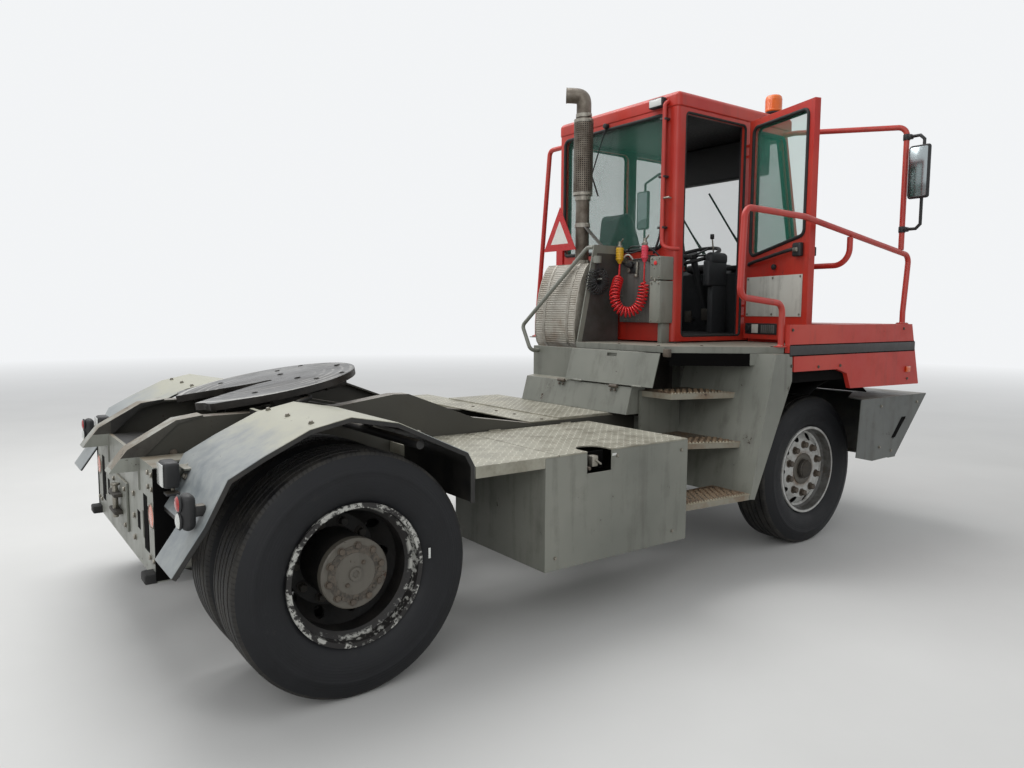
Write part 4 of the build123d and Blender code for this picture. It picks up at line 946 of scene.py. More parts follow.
normal = Vector((-math.sin(tilt), 0, math.cos(tilt)))
tilted_block((0.03, -0.09, 0.05), (0.1, 0.09, 0.086), cast_iron)
tilted_block((-0.06, 0.03, 0.05), (0.1, 0.11, 0.084), cast_iron)
tilted_block((-0.06, -0.11, 0.05), (0.1, -0.03, 0.084), cast_iron)
tilted_block((-0.3, -0.24, 0.045), (0.34, -0.228, 0.088), greased_plate)
tilted_block((-0.3, 0.228, 0.045), (0.34, 0.24, 0.088), greased_plate)
tilted_block((0.2, -0.3, 0.05), (0.212, 0.3, 0.088), greased_plate)
bar(on_coupling(0.06, -0.05, 0.062), on_coupling(0.06, -0.43, 0.062), 0.011, black_coat)
bar(on_coupling(0.06, -0.42, 0.062), on_coupling(-0.03, -0.475, 0.062), 0.011, black_coat)
for y in (-0.318, 0.318):
    bar(on_coupling(0, y - 0.012, 0), on_coupling(0, y + 0.012, 0), 0.042, cast_iron, 0.004)
bolts([on_coupling(x, y, 0.1255) for x in (-0.16, 0.16, 0.3) for y in (-0.29, 0.29)], normal, 0.011, greased_plate,
      0.2)
bolts([on_coupling(x, y, 0.1255) for x, y in ((0.12, -0.13), (0.12, 0.13), (0.4, 0.0))], normal, 0.013,
      greased_plate, 0.2)
fitted("coupling_latch", "coupling")

# %% [markdown]
# ## Tail end
# The rear crossmember carries square work lamps, twin tail lamps in one rounded case, orange reflectors, rubber
# stops and a row of bolts. The round lenses are turned domes and the square ones flat plates, all with fine ribs in
# their finish.

# %% Build the lamps
face_x = rear_x - 0.6553


def lens_dome(place, way, radius, finish, depth=0.012):
    turned([(radius, 0), (radius, depth * 0.4), (radius * 0.8, depth * 0.8), (radius * 0.4, depth), (0, depth)],
           place, way, finish, 32)


nose_slope, nose_foot_x, nose_top_z = 0.302, 0.875, 1.512


def nose_x(z):
    """The sloping nose's place ahead of the front axle at a height."""
    return nose_foot_x + (nose_top_z - z) * nose_slope


tail_x, roof_rear_x, back = rear_x - 0.662, front_x - 0.749, (-1, 0, 0)
nose_way = Vector((1, 0, nose_slope)).normalized()
nose_spots = [(Vector((front_x + nose_x(1.245) + 0.004, y + dy * (1 if y < 0 else -1), 1.245)), radius, finish)
              for y in (-1.14, 1.14) for dy, radius, finish in ((0.03, 0.04, white_lens),
                                                                (-0.042, 0.026, amber_lens))]
for y in (-1.17, 1.17):
    plank(tail_x, rear_x - 0.61, y, 0.04, 0.793, 0.927, moulding, 0.03, 5)
    plank(rear_x - 0.614, rear_x - 0.575, y, 0.02, 0.84, 0.88, black_coat, 0.004)
    for z in (0.892, 0.83):
        turned([(0.031, -0.004), (0.0345, 0.001), (0.031, 0.006), (0.029, 0.006), (0.029, -0.004)], (tail_x, y, z),
               back, moulding, 32)
for y in (-0.8, 0.8):
    plank(rear_x - 0.645, rear_x - 0.582, y, 0.055, 0.878, 0.983, moulding, 0.016, 4)
    bar((rear_x - 0.6, y, 0.98), (rear_x - 0.6, y, 0.86), 0.008, zinc)
    plank(rear_x - 0.63, rear_x - 0.575, y, 0.03, 0.845, 0.855, black_coat, 0.002)
block((roof_rear_x - 0.045, -0.33, 2.966), (roof_rear_x - 0.0005, -0.205, 3.03), moulding, 0.008, 3)
for spot, radius, _ in nose_spots:
    turned([(radius + 0.006, 0), (radius + 0.007, 0.008), (radius, 0.011), (radius, 0)], spot, nose_way, moulding, 32)
fitted("lamp_cases", "chassis", "lamps")
for y in (-1.17, 1.17):
    for z, finish in ((0.892, red_lens), (0.83, white_lens)):
        lens_dome((rear_x - 0.663, y, z), back, 0.0285, finish)
for y in (-0.8, 0.8):
    plank(rear_x - 0.649, rear_x - 0.644, y, 0.047, 0.886, 0.975, white_lens, 0.003)
block((roof_rear_x - 0.0495, -0.322, 2.974), (roof_rear_x - 0.044, -0.213, 3.022), white_lens, 0.003)
for spot, radius, finish in nose_spots:
    lens_dome(spot, nose_way, radius, finish)
fitted("lamp_lenses", "chassis", "lamps")

# %% Reflectors, stops, plates and bolts at the tail
for s in (-1, 1):
    lens_dome((-0.0005, s * 0.665, 0.735), back, 0.048, amber_lens, 0.006)
    collar(0.0485, 0.053, 0.0, 0.005, (0, s * 0.665, 0.735), back, zinc, 32)
    # Thin near-black panels on the face are painted shade standing for slots.
    plank(-0.0006, 0.001, s * 0.54, 0.04, 0.56, 0.8, shade_and_soot, 0.0)
    plank(-0.0006, 0.001, s * 0.39, 0.03, 0.62, 0.7, shade_and_soot, 0.0)
    plank(-0.046, 0.01, s * 0.678, 0.042, 0.466, 0.507, seal_rubber, 0.008, 3)
    # A near-black plate behind each end of the face is painted shade in the gap.
    plank(-0.004, 0.086, s * 0.72, 0.006, 0.476, 0.94, shade_and_soot, 0.003)
    bolts([(0, s * y, z) for y in (0.62, 0.69) for z in (0.55, 0.85, 0.91)], back, 0.01)
    bolts([(0, s * 0.3, z) for z in (0.56, 0.66, 0.76)], back, 0.012)
fitted("tail_fittings", "chassis", x=face_x)
block((-0.012, -0.17, 0.55), (-0.0005, 0.17, 0.78), grey_coat, 0.004)
block((-0.05, -0.075, 0.615), (-0.01, 0.075, 0.633), cast_iron, 0.006)
block((-0.05, -0.075, 0.697), (-0.01, 0.075, 0.715), cast_iron, 0.006)
bar((-0.032, 0, 0.59), (-0.032, 0, 0.745), 0.013, zinc)
bar((-0.032, 0, 0.744), (-0.032, 0, 0.755), 0.02, zinc)
bolts([(-0.012, y, z) for y in (-0.14, 0.14) for z in (0.58, 0.75)], back, 0.011)
fitted("towing_pin", "chassis", x=face_x)

# %% [markdown]
# ## Mudguards' brackets
# A folded clip with two bolts holds each guard to the crossmember, and a row of screws runs along its crown.

# %% Screw on the mudguards
for s in (-1, 1):
    bar((-0.6, s * 0.74, 0.9), (-0.47, s * 0.74, 0.965), 0.016, grey_coat)
    plank(-0.56, -0.5, s * 0.76, 0.055, 0.936, 0.946, grey_coat)
    bolts([(-0.553, s * y, 0.912) for y in (0.72, 0.8)], (-0.88, 0, 0.47), 0.011)
    bolts([(-0.165, s * y, 1.142) for y in (0.66, 0.9, 1.16)], (-0.2, 0, 0.98), 0.009)
    bolts([(0.315, s * y, 1.062) for y in (0.66, 0.9, 1.16)], (0.42, 0, 0.91), 0.009)
    bar((0.3, s * 0.43, 1.015), (0.3, s * 1.2, 1.015), 0.02, black_coat)
fitted("mudguard_clips", "chassis", x=rear_x)

# %% [markdown]
# ## Window seals
# Each pane is held by a round black rubber seal. Its line is the window's outline with rounded corners, worked
# out once as a loop of points, and a pipe is bent along it, proud of the wall by half its thickness. From here on
# a piece is often laid out with the front axle at X = 0, and moved to its place in one go when it is fitted.

# %% Seal helper
cab_rear_x, cab_right_y, cab_left_y = -0.745, -0.43, 0.8


def rounded_loop(points, radius, steps=6):
    """The points' outline with each corner replaced by an arc. Points and answer are (a, b) pairs."""
    loop = []
    for i, corner in enumerate(points):
        here = Vector(corner)
        before = (Vector(points[i - 1]) - here).normalized()
        after = (Vector(points[(i + 1) % len(points)]) - here).normalized()
        half = before.angle(after) / 2
        middle = here + (before + after).normalized() * (radius / math.sin(half))
        start = here + before * (radius / math.tan(half)) - middle
        end = here + after * (radius / math.tan(half)) - middle
        for k in range(steps + 1):
            loop.append(tuple(middle + start.slerp(end, k / steps).normalized() * radius))
    return loop


def screen_x(z):
    return 0.845 - 0.375 * (z - 1.385) / 1.575


def corners(a0, z0, a1, z1):
    return [(a0, z0), (a1, z0), (a1, z1), (a0, z1)]


# %% Press in the cab's seals
quarter = [(0.065, 2.0), (screen_x(2.06) - 0.06, 2.06), (screen_x(2.905) - 0.042, 2.905), (0.065, 2.905)]
pipe([(cab_rear_x, y, z) for y, z in rounded_loop(corners(-0.31, 2.025, 0.73, 2.92), 0.045)], 0.013, seal_rubber,
     closed=True)
for window, y in ((quarter, cab_right_y), (quarter, cab_left_y), (corners(-0.655, 2.0, -0.015, 2.905), cab_left_y)):
    pipe([(x, y, z) for x, z in rounded_loop(window, 0.045)], 0.012, seal_rubber, closed=True)
pipe([(screen_x(z), y, z) for y, z in rounded_loop(corners(-0.36, 1.96, 0.73, 2.9), 0.045)], 0.013, seal_rubber,
     closed=True)
pipe([(x, cab_right_y + 0.006, z) for x, z in rounded_loop(corners(-0.66, 1.42, -0.018, 2.93), 0.03)], 0.009,
     seal_rubber, closed=True)
fitted("cab_window_seals", "chassis", x=front_x)

# %% [markdown]
# ## Door trim
# The door stands open, so its inner side shows: a seal round the pane, a black pull bar below it, a latch case at
# the free end, a knob, a pale kick panel and a dark band of vents at the foot. All of it is placed on the closed
# door and then swung open about the hinge.

# %% Trim the open door
hinge_x, hinge_y = 0.003, cab_right_y - 0.028
swing = math.radians(72)


def on_door(along, off, z):
    """A point on the open door: along from the hinge to the free end, off towards the cab's inside."""
    return (hinge_x - along * math.cos(swing) - off * math.sin(swing), hinge_y - along * math.sin(swing) +
            off * math.cos(swing), z)


def door_block(low, high, finish, edge=0.003, segments=2):
    piece = block(low, high, finish, edge, segments)
    for vertex in piece.data.vertices:
        vertex.co = on_door(*vertex.co)
    only(piece)
    bpy.ops.object.mode_set(mode="EDIT")
    bpy.ops.mesh.select_all(action="SELECT")
    closed_up(piece, None)


inner, outer = 0.0227, -0.0223
loop = rounded_loop([(0.066, 1.985), (0.641, 2.095), (0.641, 2.895), (0.066, 2.895)], 0.045)
for side in (inner, outer):
    pipe([on_door(a, side, z) for a, z in loop], 0.012, seal_rubber, closed=True)
door_block((0.042, inner, 1.56), (0.644, inner + 0.004, 1.84), kick_white, 0.002)
door_block((0.042, inner, 1.434), (0.4, inner + 0.005, 1.512), moulding, 0.003)
door_block((0.566, inner, 1.955), (0.644, inner + 0.035, 2.045), moulding, 0.01, 3)
door_block((0.584, inner + 0.03, 1.985), (0.628, inner + 0.045, 2.012), zinc, 0.004)
hose([on_door(a, inner + d, z) for a, d, z in ((0.06, 0.0, 1.93), (0.075, 0.03, 1.933), (0.3, 0.034, 1.965),
                                               (0.55, 0.03, 2.005), (0.57, 0.0, 2.01))], 0.012, moulding)
bar(on_door(0.355, inner, 1.9), on_door(0.355, inner + 0.022, 1.9), 0.018, moulding, 0.004)
for i in range(7):
    door_block((0.234 + 0.022 * i, inner + 0.004, 1.444), (0.247 + 0.022 * i, inner + 0.011, 1.5), panel_grey,
               0.001, 1)
bar(on_door(0.07, inner + 0.003, 1.473), on_door(0.07, inner + 0.012, 1.473), 0.024, moulding, 0.003)
door_block((0.125, inner + 0.004, 1.442), (0.195, inner + 0.01, 1.504), kick_white, 0.002)
screws = [on_door(a, inner + 0.004, z) for a in (0.06, 0.34, 0.626) for z in (1.575, 1.825)]
bolts(screws, Vector(on_door(0, 1, 0)) - Vector(on_door(0, 0, 0)), 0.006)
door_block((0.56, outer - 0.03, 1.965), (0.6, outer, 2.005), moulding, 0.006)
door_block((0.54, outer - 0.034, 1.955), (0.672, outer - 0.018, 2.015), moulding, 0.007, 3)
bar(on_door(0.63, outer, 1.83), on_door(0.63, outer - 0.012, 1.83), 0.015, zinc)
fitted("door_trim", "cab_door", x=front_x)

# %% [markdown]
# ## Back of the cab
# On the pillar behind the door a bent red tube gives a hold, with a black hose tied along it. The tube is one
# pipe through a few points, and two small plates hold it.

# %% Bend the pillar's tube and hose
hose([(-0.002, -0.345, 3.0), (-0.035, -0.345, 2.985), (-0.04, -0.345, 2.95), (-0.04, -0.345, 2.1),
      (-0.04, -0.352, 2.04), (-0.03, -0.4, 2.015), (0.03, -0.442, 2.015)], 0.014, rail_coat)
hose([(-0.012, -0.322, 2.96), (-0.022, -0.322, 2.9), (-0.022, -0.322, 2.2), (-0.024, -0.31, 2.08),
      (-0.026, -0.26, 1.99)], 0.008, cable_black)
for z in (2.88, 2.5, 2.16):
    block((-0.05, -0.362, z - 0.008), (-0.0005, -0.31, z + 0.008), black_coat)
bar((-0.01, -0.395, 2.355), (-0.05, -0.395, 2.355), 0.006, zinc)
bar((-0.045, -0.41, 2.355), (-0.045, -0.36, 2.355), 0.007, zinc)
fitted("pillar_tube", "chassis", x=front_x + cab_rear_x)
hose([(cab_rear_x - 0.02, 0.25, 2.93), (cab_rear_x - 0.03, 0.32, 2.75), (cab_rear_x - 0.022, 0.4, 2.6)], 0.005,
     moulding)
bar((cab_rear_x, 0.25, 2.945), (cab_rear_x - 0.035, 0.25, 2.945), 0.018, moulding)
bar((cab_rear_x - 0.012, 0.33, 2.45), (cab_rear_x - 0.012, 0.47, 2.75), 0.006, seal_rubber)
for y0 in (0.0, 0.42):
    bar((screen_x(1.92) + 0.02, y0, 1.92), (screen_x(1.95) + 0.045, y0, 1.95), 0.014, moulding)
    bar((screen_x(1.95) + 0.04, y0, 1.95), (screen_x(2.3) + 0.024, y0 + 0.22, 2.3), 0.006, moulding)
    bar((screen_x(2.1) + 0.012, y0 + 0.1, 2.1), (screen_x(2.6) + 0.012, y0 + 0.38, 2.6), 0.008, seal_rubber)
fitted("wipers", "chassis", x=front_x)

# %% [markdown]
# ## Inside the cab
# Through the doorway and the panes one sees a dark lining, a visor over the windscreen, the driver's console with
# its levers, pedals and a rubber mat. They are simple forms, but without them the cab would look like a box.

# %% Furnish the cab
floor_z = 1.4203
block((0.33, -0.33, 2.64), (0.42, 0.7, 2.93), moulding, 0.02, 3)
block((-0.69, -0.375, 2.935), (0.42, 0.745, 2.958), moulding, 0.006)
block((0.07, -0.05, 1.79), (0.3, 0.012, 2.0), console_grey, 0.02, 3)
block((0.09, -0.056, 1.96), (0.31, 0.016, 2.06), console_grey, 0.045, 5)
block((0.13, -0.045, floor_z), (0.3, 0.008, 1.8), console_grey, 0.012)
block((-0.685, -0.36, floor_z), (0.4, 0.74, floor_z + 0.006), seal_rubber, 0.002)
block((0.36, -0.32, 1.925), (0.6, 0.02, 1.965), moulding, 0.012, 3)
block((0.37, 0.1, 1.92), (0.56, 0.44, 1.985), moulding, 0.02, 3)
bar((0.16, -0.02, 2.05), (0.14, -0.02, 2.17), 0.006, zinc)
bar((0.14, -0.02, 2.16), (0.138, -0.02, 2.2), 0.016, moulding, 0.006)
bar((-0.2, 0.0, 1.77), (-0.16, 0.0, 2.02), 0.007, black_coat)
block((-0.35, -0.015, 1.99), (-0.08, 0.03, 2.03), moulding, 0.015, 3)
for y, z in ((0.12, 1.52), (0.22, 1.52), (0.4, 1.5)):
    plank(0.36, 0.375, y, 0.035, z, z + 0.1, cast_iron, 0.004)
    bar((0.37, y, z + 0.05), (0.46, y, z + 0.02), 0.008, cast_iron)
for z in (1.5, 1.56, 1.62, 1.68):
    plank(-0.595, -0.19, seat_mid, 0.17, z, z + 0.045, seal_rubber, 0.014, 3)
bar((0.5, 0.6, 2.0), (0.42, 0.6, 2.02), 0.03, moulding)
fitted("cab_furnishing", "chassis", x=front_x)

# %% [markdown]
# ## Service panel
# The trailer's air and power lines start at a plate on the cab's back. The plate and the box beside it are folded
# sheet, the two couplings are turned sleeves with a plated cap and a lever, and small pipes and wires run between
# them. A short table gives each coupling its side, its finish and its height.

# %% Fit out the service panel
block((0.749, -0.33, 1.512), (0.7987, 0.04, 1.955), panel_grey, 0.006)
block((0.669, -0.425, 1.803), (0.7987, -0.3285, 1.96), grey_coat, 0.006)
block((0.669, -0.425, 1.512), (0.7987, -0.3285, 1.797), grey_coat, 0.006)
block((0.719, -0.4, 1.3753), (0.7987, -0.365, 1.515), grey_coat, 0.003)
block((0.739, -0.03, 1.95), (0.779, 0.03, 1.975), panel_grey, 0.003)
for y, sleeve, waist, top in ((0, yellow_plastic, 0.026, 2.035), (-0.245, pink_plastic, 0.022, 2.043)):
    grips = []
    for i in range(5):
        z = 1.958 + 0.017 * i
        grips += [(waist + 0.003, z), (waist + 0.003, z + 0.008), (waist, z + 0.01), (waist, z + 0.016)]
    turned([(0, 1.93), (0.012, 1.93), (0.016, 1.942), (waist, 1.955)] + grips + [(waist - 0.005, top), (0, top)],
           (hose_x, y, 0), (0, 0, 1), sleeve, 28)
    turned([(0.013, top - 0.004), (0.018, top + 0.004), (0.018, top + 0.022), (0.011, top + 0.028),
            (0.011, top + 0.05), (0, top + 0.05)], (hose_x, y, 0), (0, 0, 1), zinc, 24)
    bar((hose_x, y - 0.005, top + 0.04), (hose_x - 0.012, y - 0.045, top + 0.066), 0.0055, zinc)
    bar((hose_x, y - 0.02, top + 0.012), (hose_x, y + 0.028, top + 0.012), 0.008, zinc)
    plank(0.704, 0.751, y, 0.014, 1.938, 1.98, zinc, 0.004)
    hose([(hose_x + 0.02, y, top + 0.012), (0.74, y + 0.03, top + 0.03), (0.765, y + 0.05, top - 0.02),
          (0.775, y + 0.06, 1.957)], 0.006, cable_black)
hose([(0.74, 0.036, 1.974), (0.735, 0.045, 1.99), (0.72, 0.03, 2.0), (0.71, 0.012, 1.985)], 0.0065, kick_white)
hose([(0.72, -0.03, 1.97), (0.71, -0.05, 1.99), (0.72, -0.09, 1.988), (0.735, -0.1, 1.955)], 0.006, kick_white)
bar((0.7495, -0.082, 1.918), (0.72, -0.082, 1.918), 0.022, moulding, 0.006)
bar((0.7495, -0.294, 1.915), (0.742, -0.294, 1.915), 0.016, red_plastic)
bar((0.669, -0.38, 1.915), (0.664, -0.38, 1.915), 0.014, red_plastic)
bar((0.7495, -0.224, 1.725), (0.741, -0.224, 1.725), 0.012, yellow_plastic)
bar((0.74, -0.141, 1.936), (0.74, -0.134, 1.846), 0.009, zinc)
bar((0.7495, -0.05, 1.88), (0.738, -0.05, 1.88), 0.018, zinc)
bar((0.736, -0.134, 1.85), (0.736, -0.134, 1.832), 0.015, zinc)
block((0.742, -0.125, 1.86), (0.75, -0.06, 1.9), moulding, 0.003)
for y0, z0, y1, z1, sag in ((0.03, 2.02, -0.2, 2.03, 0.03), (0.02, 1.99, -0.3, 1.985, 0.045),
                            (-0.02, 2.05, -0.32, 2.0, -0.02), (0.035, 1.965, -0.12, 1.93, 0.05)):
    mid = ((y0 + y1) / 2, (z0 + z1) / 2 - sag)
    hose([(0.775, y0, 1.955), (0.745, y0, z0), (0.735, *mid), (0.745, y1, z1), (0.778, y1, 1.956)], 0.0055,
         cable_black)
bolts([(0.7485, y, z) for y, z in ((-0.31, 1.53), (-0.02, 1.53), (-0.16, 1.53), (0.02, 1.7), (-0.31, 1.7),
                                   (-0.02, 1.94), (-0.2, 1.94))], (-1, 0, 0), 0.006)
bolts([(0.6685, y, z) for y in (-0.345, -0.41) for z in (1.53, 1.78, 1.82, 1.945)], (-1, 0, 0), 0.006)
bar((0.668, -0.377, 1.79), (0.668, -0.377, 1.812), 0.007, zinc)
fitted("service_panel_fittings", "chassis", "service_panel")

# %% [markdown]
# ## Silencer and exhaust
# The silencer is wrapped in corrugated sheet. Its ribs are real: a wavy line is drawn along the rounded section,
# extruded across the whole width and closed at both ends by flanges. The stack's heat shield is a perforated
# tube, made by insetting every face of a thin cylinder and deleting the middles.

# %% Roll the ribbed silencer
section = [(-1.048, 1.93), (-1.082, 1.885), (-1.118, 1.805), (-1.144, 1.715), (-1.163, 1.61), (-1.173, 1.5),
           (-1.172, 1.425), (-1.158, 1.362), (-1.135, 1.328), (-1.105, 1.312), (-0.825, 1.312), (-0.805, 1.335),
           (-0.8, 1.385), (-0.78, 1.415), (-0.78, 1.87), (-0.792, 1.912), (-0.82, 1.93)]
section = [Vector(p) for p in section]


def along_section(spacing):
    """Even steps along the silencer's closed section, each with its outward side."""
    steps = []
    for a, b in zip(section, section[1:] + section[:1]):
        way = b - a
        count = max(1, round(way.length / spacing))
        side_way = Vector((way.y, -way.x)).normalized()
        steps += [(a + way * k / count, side_way) for k in range(count)]
    return steps


middle = sum(section, Vector((0, 0))) / len(section)
wave = []
for i, (spot, side_way) in enumerate(along_section(0.0056)):
    if side_way.dot(spot - middle) < 0:
        side_way = -side_way
    wave.append(spot - side_way * (0.0012, 0.0055, 0.0012)[i % 3])
ring = [middle + (p - middle) * 0.999 for p in section]
slab(wave, 0.107, 0.548, silencer_sheet)
for y0, y1 in ((0.1, 0.112), (0.543, 0.555)):
    rounded(slab(ring, y0, y1, bright_edge), 0.003, 2)
for y in (0.19, 0.45):
    band = [middle + (p - middle) * 0.9995 for p in section]
    slab(band, y - 0.012, y + 0.012, bright_edge)
    bar((-0.9, y, 1.918), (-0.84, y, 1.929), 0.006, zinc)
fitted("ribbed_silencer", "chassis", "silencer", angle=50, x=front_x)

# %% Stack, shield, clamps and elbow
stack_x, stack_y = front_x - 0.945, 0.29
bpy.ops.mesh.primitive_cylinder_add(vertices=28, radius=0.069, depth=0.535, end_fill_type="NOTHING",
                                    location=(0, 0, 2.7))
shield = bpy.context.object
bpy.ops.object.mode_set(mode="EDIT")
for i in range(1, 36):
    z = 2.4325 + 0.535 * i / 36
    bpy.ops.mesh.select_all(action="SELECT")
    bpy.ops.mesh.bisect(plane_co=(0, 0, z), plane_no=(0, 0, 1))
bpy.ops.mesh.select_mode(type="FACE")
bpy.ops.mesh.select_all(action="SELECT")
bpy.ops.mesh.inset(thickness=0.0036, use_individual=True)
bpy.ops.mesh.delete(type="FACE")
bpy.ops.mesh.select_mode(type="VERT")
bpy.ops.object.mode_set(mode="OBJECT")
thick = shield.modifiers.new("thick", "SOLIDIFY")
thick.thickness, thick.offset = 0.0015, 1
tube_line = [(0, 0, 2.95), (0, 0, 3.05), (0, 0, 3.1), (-0.012, 0.01, 3.133), (-0.05, 0.043, 3.143),
             (-0.095, 0.083, 3.145)]
mouth = Vector(tube_line[-1])
mouth_way = Vector((-0.095, 0.083, 0.004)).normalized()
laid(settle(shield, stack_steel))
bar((0, 0, 1.9303), (0, 0, 2.99), 0.05, stack_steel, 0.001, 40)
# The near-black sleeve over the pipe inside the shield is painted shade with some soot.
bar((0, 0, 2.44), (0, 0, 2.96), 0.054, shade_and_soot, 0.0, 40)
hose(tube_line, 0.0535, stack_steel, sides=10)
turned([(0.0535, -0.004), (0.0555, 0.0), (0.0555, 0.003), (0.048, 0.003), (0.048, -0.004), (0.0535, -0.004)], mouth,
       mouth_way, stack_steel, 40)
# The near-black disc in the mouth is soot with painted shade.
bar(mouth + mouth_way * 0.0002, mouth + mouth_way * 0.0012, 0.048, shade_and_soot, 0.0, 40)
for z, reach, tall in ((2.43, 0.0715, 0.022), (2.948, 0.0715, 0.022), (2.985, 0.058, 0.025), (2.2, 0.0565, 0.03),
                       (1.9305, 0.066, 0.03), (2.395, 0.058, 0.03)):
    collar(reach - 0.006, reach, z, z + tall, (0, 0, 0), (0, 0, 1), bright_edge, 40)
    block((-0.014, -reach - 0.012, z), (0.014, -reach + 0.004, z + tall), zinc, 0.003)
stay_low, stay_high = Vector((-0.005, -0.222, 2.05)), Vector((-0.01, -0.05, 2.2))
stay = block((-0.5, -0.02, -0.003), (0.5, 0.02, 0.003), panel_grey, 0.002)
stay.scale = ((stay_high - stay_low).length, 1, 1)
stay.rotation_euler = (stay_high - stay_low).to_track_quat("X", "Z").to_euler()
stay.location = (stay_low + stay_high) / 2
settle(stay)
fitted("exhaust_pipe", "chassis", "exhaust_stack", angle=40, x=stack_x, y=stack_y)

# %% [markdown]
# ## Beacon
# A black rubber foot carries an amber dome with moulded rings. Both are turned.

# %% Turn the beacon
dome = [(0.052, 3.108), (0.06, 3.112), (0.0635, 3.12)]
for i in range(9):
    z = 3.124 + 0.0092 * i
    dome += [(0.0635, z), (0.0612, z + 0.0046)]
dome += [(0.062, 3.208), (0.058, 3.221), (0.048, 3.2305), (0.03, 3.2345), (0, 3.235)]
foot = [(0, 3.0603), (0.058, 3.0603), (0.058, 3.07), (0.05, 3.076), (0.047, 3.09), (0.0565, 3.1), (0.0565, 3.108),
        (0, 3.109)]
turned(dome, (0, 0, 0), (0, 0, 1), beacon_amber)
turned(foot, (0, 0, 0), (0, 0, 1), moulding)
fitted("amber_beacon", "chassis", "beacon", x=front_x + 0.418, y=-0.34)

# %% [markdown]
# ## Mirrors
# The right mirror hangs on the rail's post, the left one on an arm from the cab. Each has a rounded black shell
# with a pane that faces the driver, and two clamps on its bent arm.

# %% Hang the mirrors
post_x = 0.765
for s, arm in ((-1, [(post_x, -1.2141, 2.82), (post_x, -1.29, 2.82), (post_x, -1.32, 2.79), (post_x, -1.32, 2.21),
                     (post_x, -1.29, 2.18), (post_x, -1.2141, 2.18)]),
               (1, [(0.468, 0.8003, 2.82), (0.468, 0.86, 2.82), (0.49, 0.9, 2.82), (post_x - 0.02, 1.3, 2.82),
                    (post_x, 1.32, 2.79), (post_x, 1.32, 2.18)])):
    pipe(arm, 0.0115, moulding)
    low, high = sorted((s * 1.238, s * 1.382))
    block((post_x - 0.049, low, 2.383), (post_x - 0.01, high, 2.747), moulding, 0.018, 5)
    block((post_x - 0.0496, low + 0.01, 2.398), (post_x - 0.0476, high - 0.01, 2.732), mirror_glass, 0.0008)
    pipe([(post_x - 0.048, a, b) for a, b in rounded_loop(corners(low + 0.008, 2.394, high - 0.008, 2.736), 0.014)],
         0.004, moulding, closed=True)
    for z in (2.47, 2.66):
        plank(post_x - 0.022, post_x + 0.016, s * 1.32, 0.022, z - 0.02, z + 0.02, moulding, 0.006)
for z in (2.18, 2.82):
    bar((post_x, -1.195, z - 0.022), (post_x, -1.195, z + 0.022), 0.0235, moulding, 0.004)
    block((post_x - 0.02, -1.235, z - 0.016), (post_x + 0.02, -1.212, z + 0.016), moulding, 0.004)
fitted("mirror_heads", "chassis", "mirrors", x=front_x)

# %% [markdown]
# ## Front end
# Dark guard strips run along both body sides, and the arches over the front wheels are lined with black sheet that
# is bent as one arc; its near-black, like that of the walls inside the body, is painted shade. At the nose there are
# bolts and two tow tubes, and behind the grille stands the finned radiator in front of a near-black box of painted
# shade.

# %% Line the arches and dress the front
side_y, arch = 1.2505, 0.645
for s in (-1, 1):
    plank(-0.608, 0.919, s * 1.2525, 0.003, 1.325, 1.384, strip_black, 0.002)
    plank(-0.604, 0.921, s * side_y, 0.0015, 1.318, 1.3245, shade_and_soot, 0.0)
    plank(-0.604, 0.917, s * side_y, 0.0015, 1.3845, 1.39, shade_and_soot, 0.0)
    plank(0.806, 0.859, s * 1.257, 0.007, 1.167, 1.21, amber_lens, 0.005, 3)
    bolts([(x, s * side_y, z) for x, z in ((-0.584, 1.48), (-0.584, 1.26), (-0.044, 1.245), (-0.294, 1.245),
                                           (0.836, 1.12), (0.756, 1.48))], (0, s, 0), 0.008, rusty_nut)
    turn = [math.radians(a) for a in range(56, 122, 5)]
    liner = outline([(arch * math.cos(a), s * 0.46, wheel_z + arch * math.sin(a)) for a in turn])
    bpy.ops.mesh.extrude_edges_move(TRANSFORM_OT_translate={"value": (0, s * 0.755, 0)})
    bpy.ops.object.mode_set(mode="OBJECT")
    liner.modifiers.new("sheet", "SOLIDIFY").thickness = 0.004
    # The liner's near-black is painted shade in the arch.
    laid(settle(liner, shade_and_soot))
    # Near-black walls inside the body, beside the engine and under the side, are painted shade.
    plank(-0.5, 0.38, s * 0.452, 0.003, 0.93, 1.33, shade_and_soot, 0.0)
    plank(-0.61, 0.42, s * 1.218, 0.002, 1.15, 1.222, shade_and_soot, 0.0)
    bolts([(x, s * side_y, z) for x, z in ((0.5, 0.94), (0.5, 0.65), (1.0, 0.94), (0.66, 0.61))], (0, s, 0), 0.009)
    slab([(0.658, 0.703), (0.713, 0.702), (0.85, 0.843), (0.79, 0.843)], s * 1.2503, s * 1.2508, shade_and_soot)
for y in (-0.35, 0.35):
    bar((0.9, y, 0.7), (0.93, y, 0.685), 0.045, shade_and_soot)
bolts([(nose_x(1.47), -1.2 + 0.4 * i, 1.47) for i in range(7)], nose_way, 0.008)
bar((0.91, -0.3, 1.43), (0.925, 0.62, 1.43), 0.009, moulding)
# A near-black box behind the fins is painted shade behind the grille.
block((0.77, -0.43, 1.0), (0.81, 0.8, 1.375), shade_and_soot, 0.004)
fin = block((0.809, -0.413, 1.01), (0.825, -0.407, 1.365), cast_iron, 0.0)
copies(fin, [(0, 0.03 * i, 0) for i in range(41)])
fitted("front_dressing", "chassis", x=front_x)

# %% [markdown]
# ## Steps and decks
# The treads are open grids with a row of teeth along the edge, worn to a dull brown. One tooth and one raised
# ring are modelled and copied along each tread from its front edge's two ends.

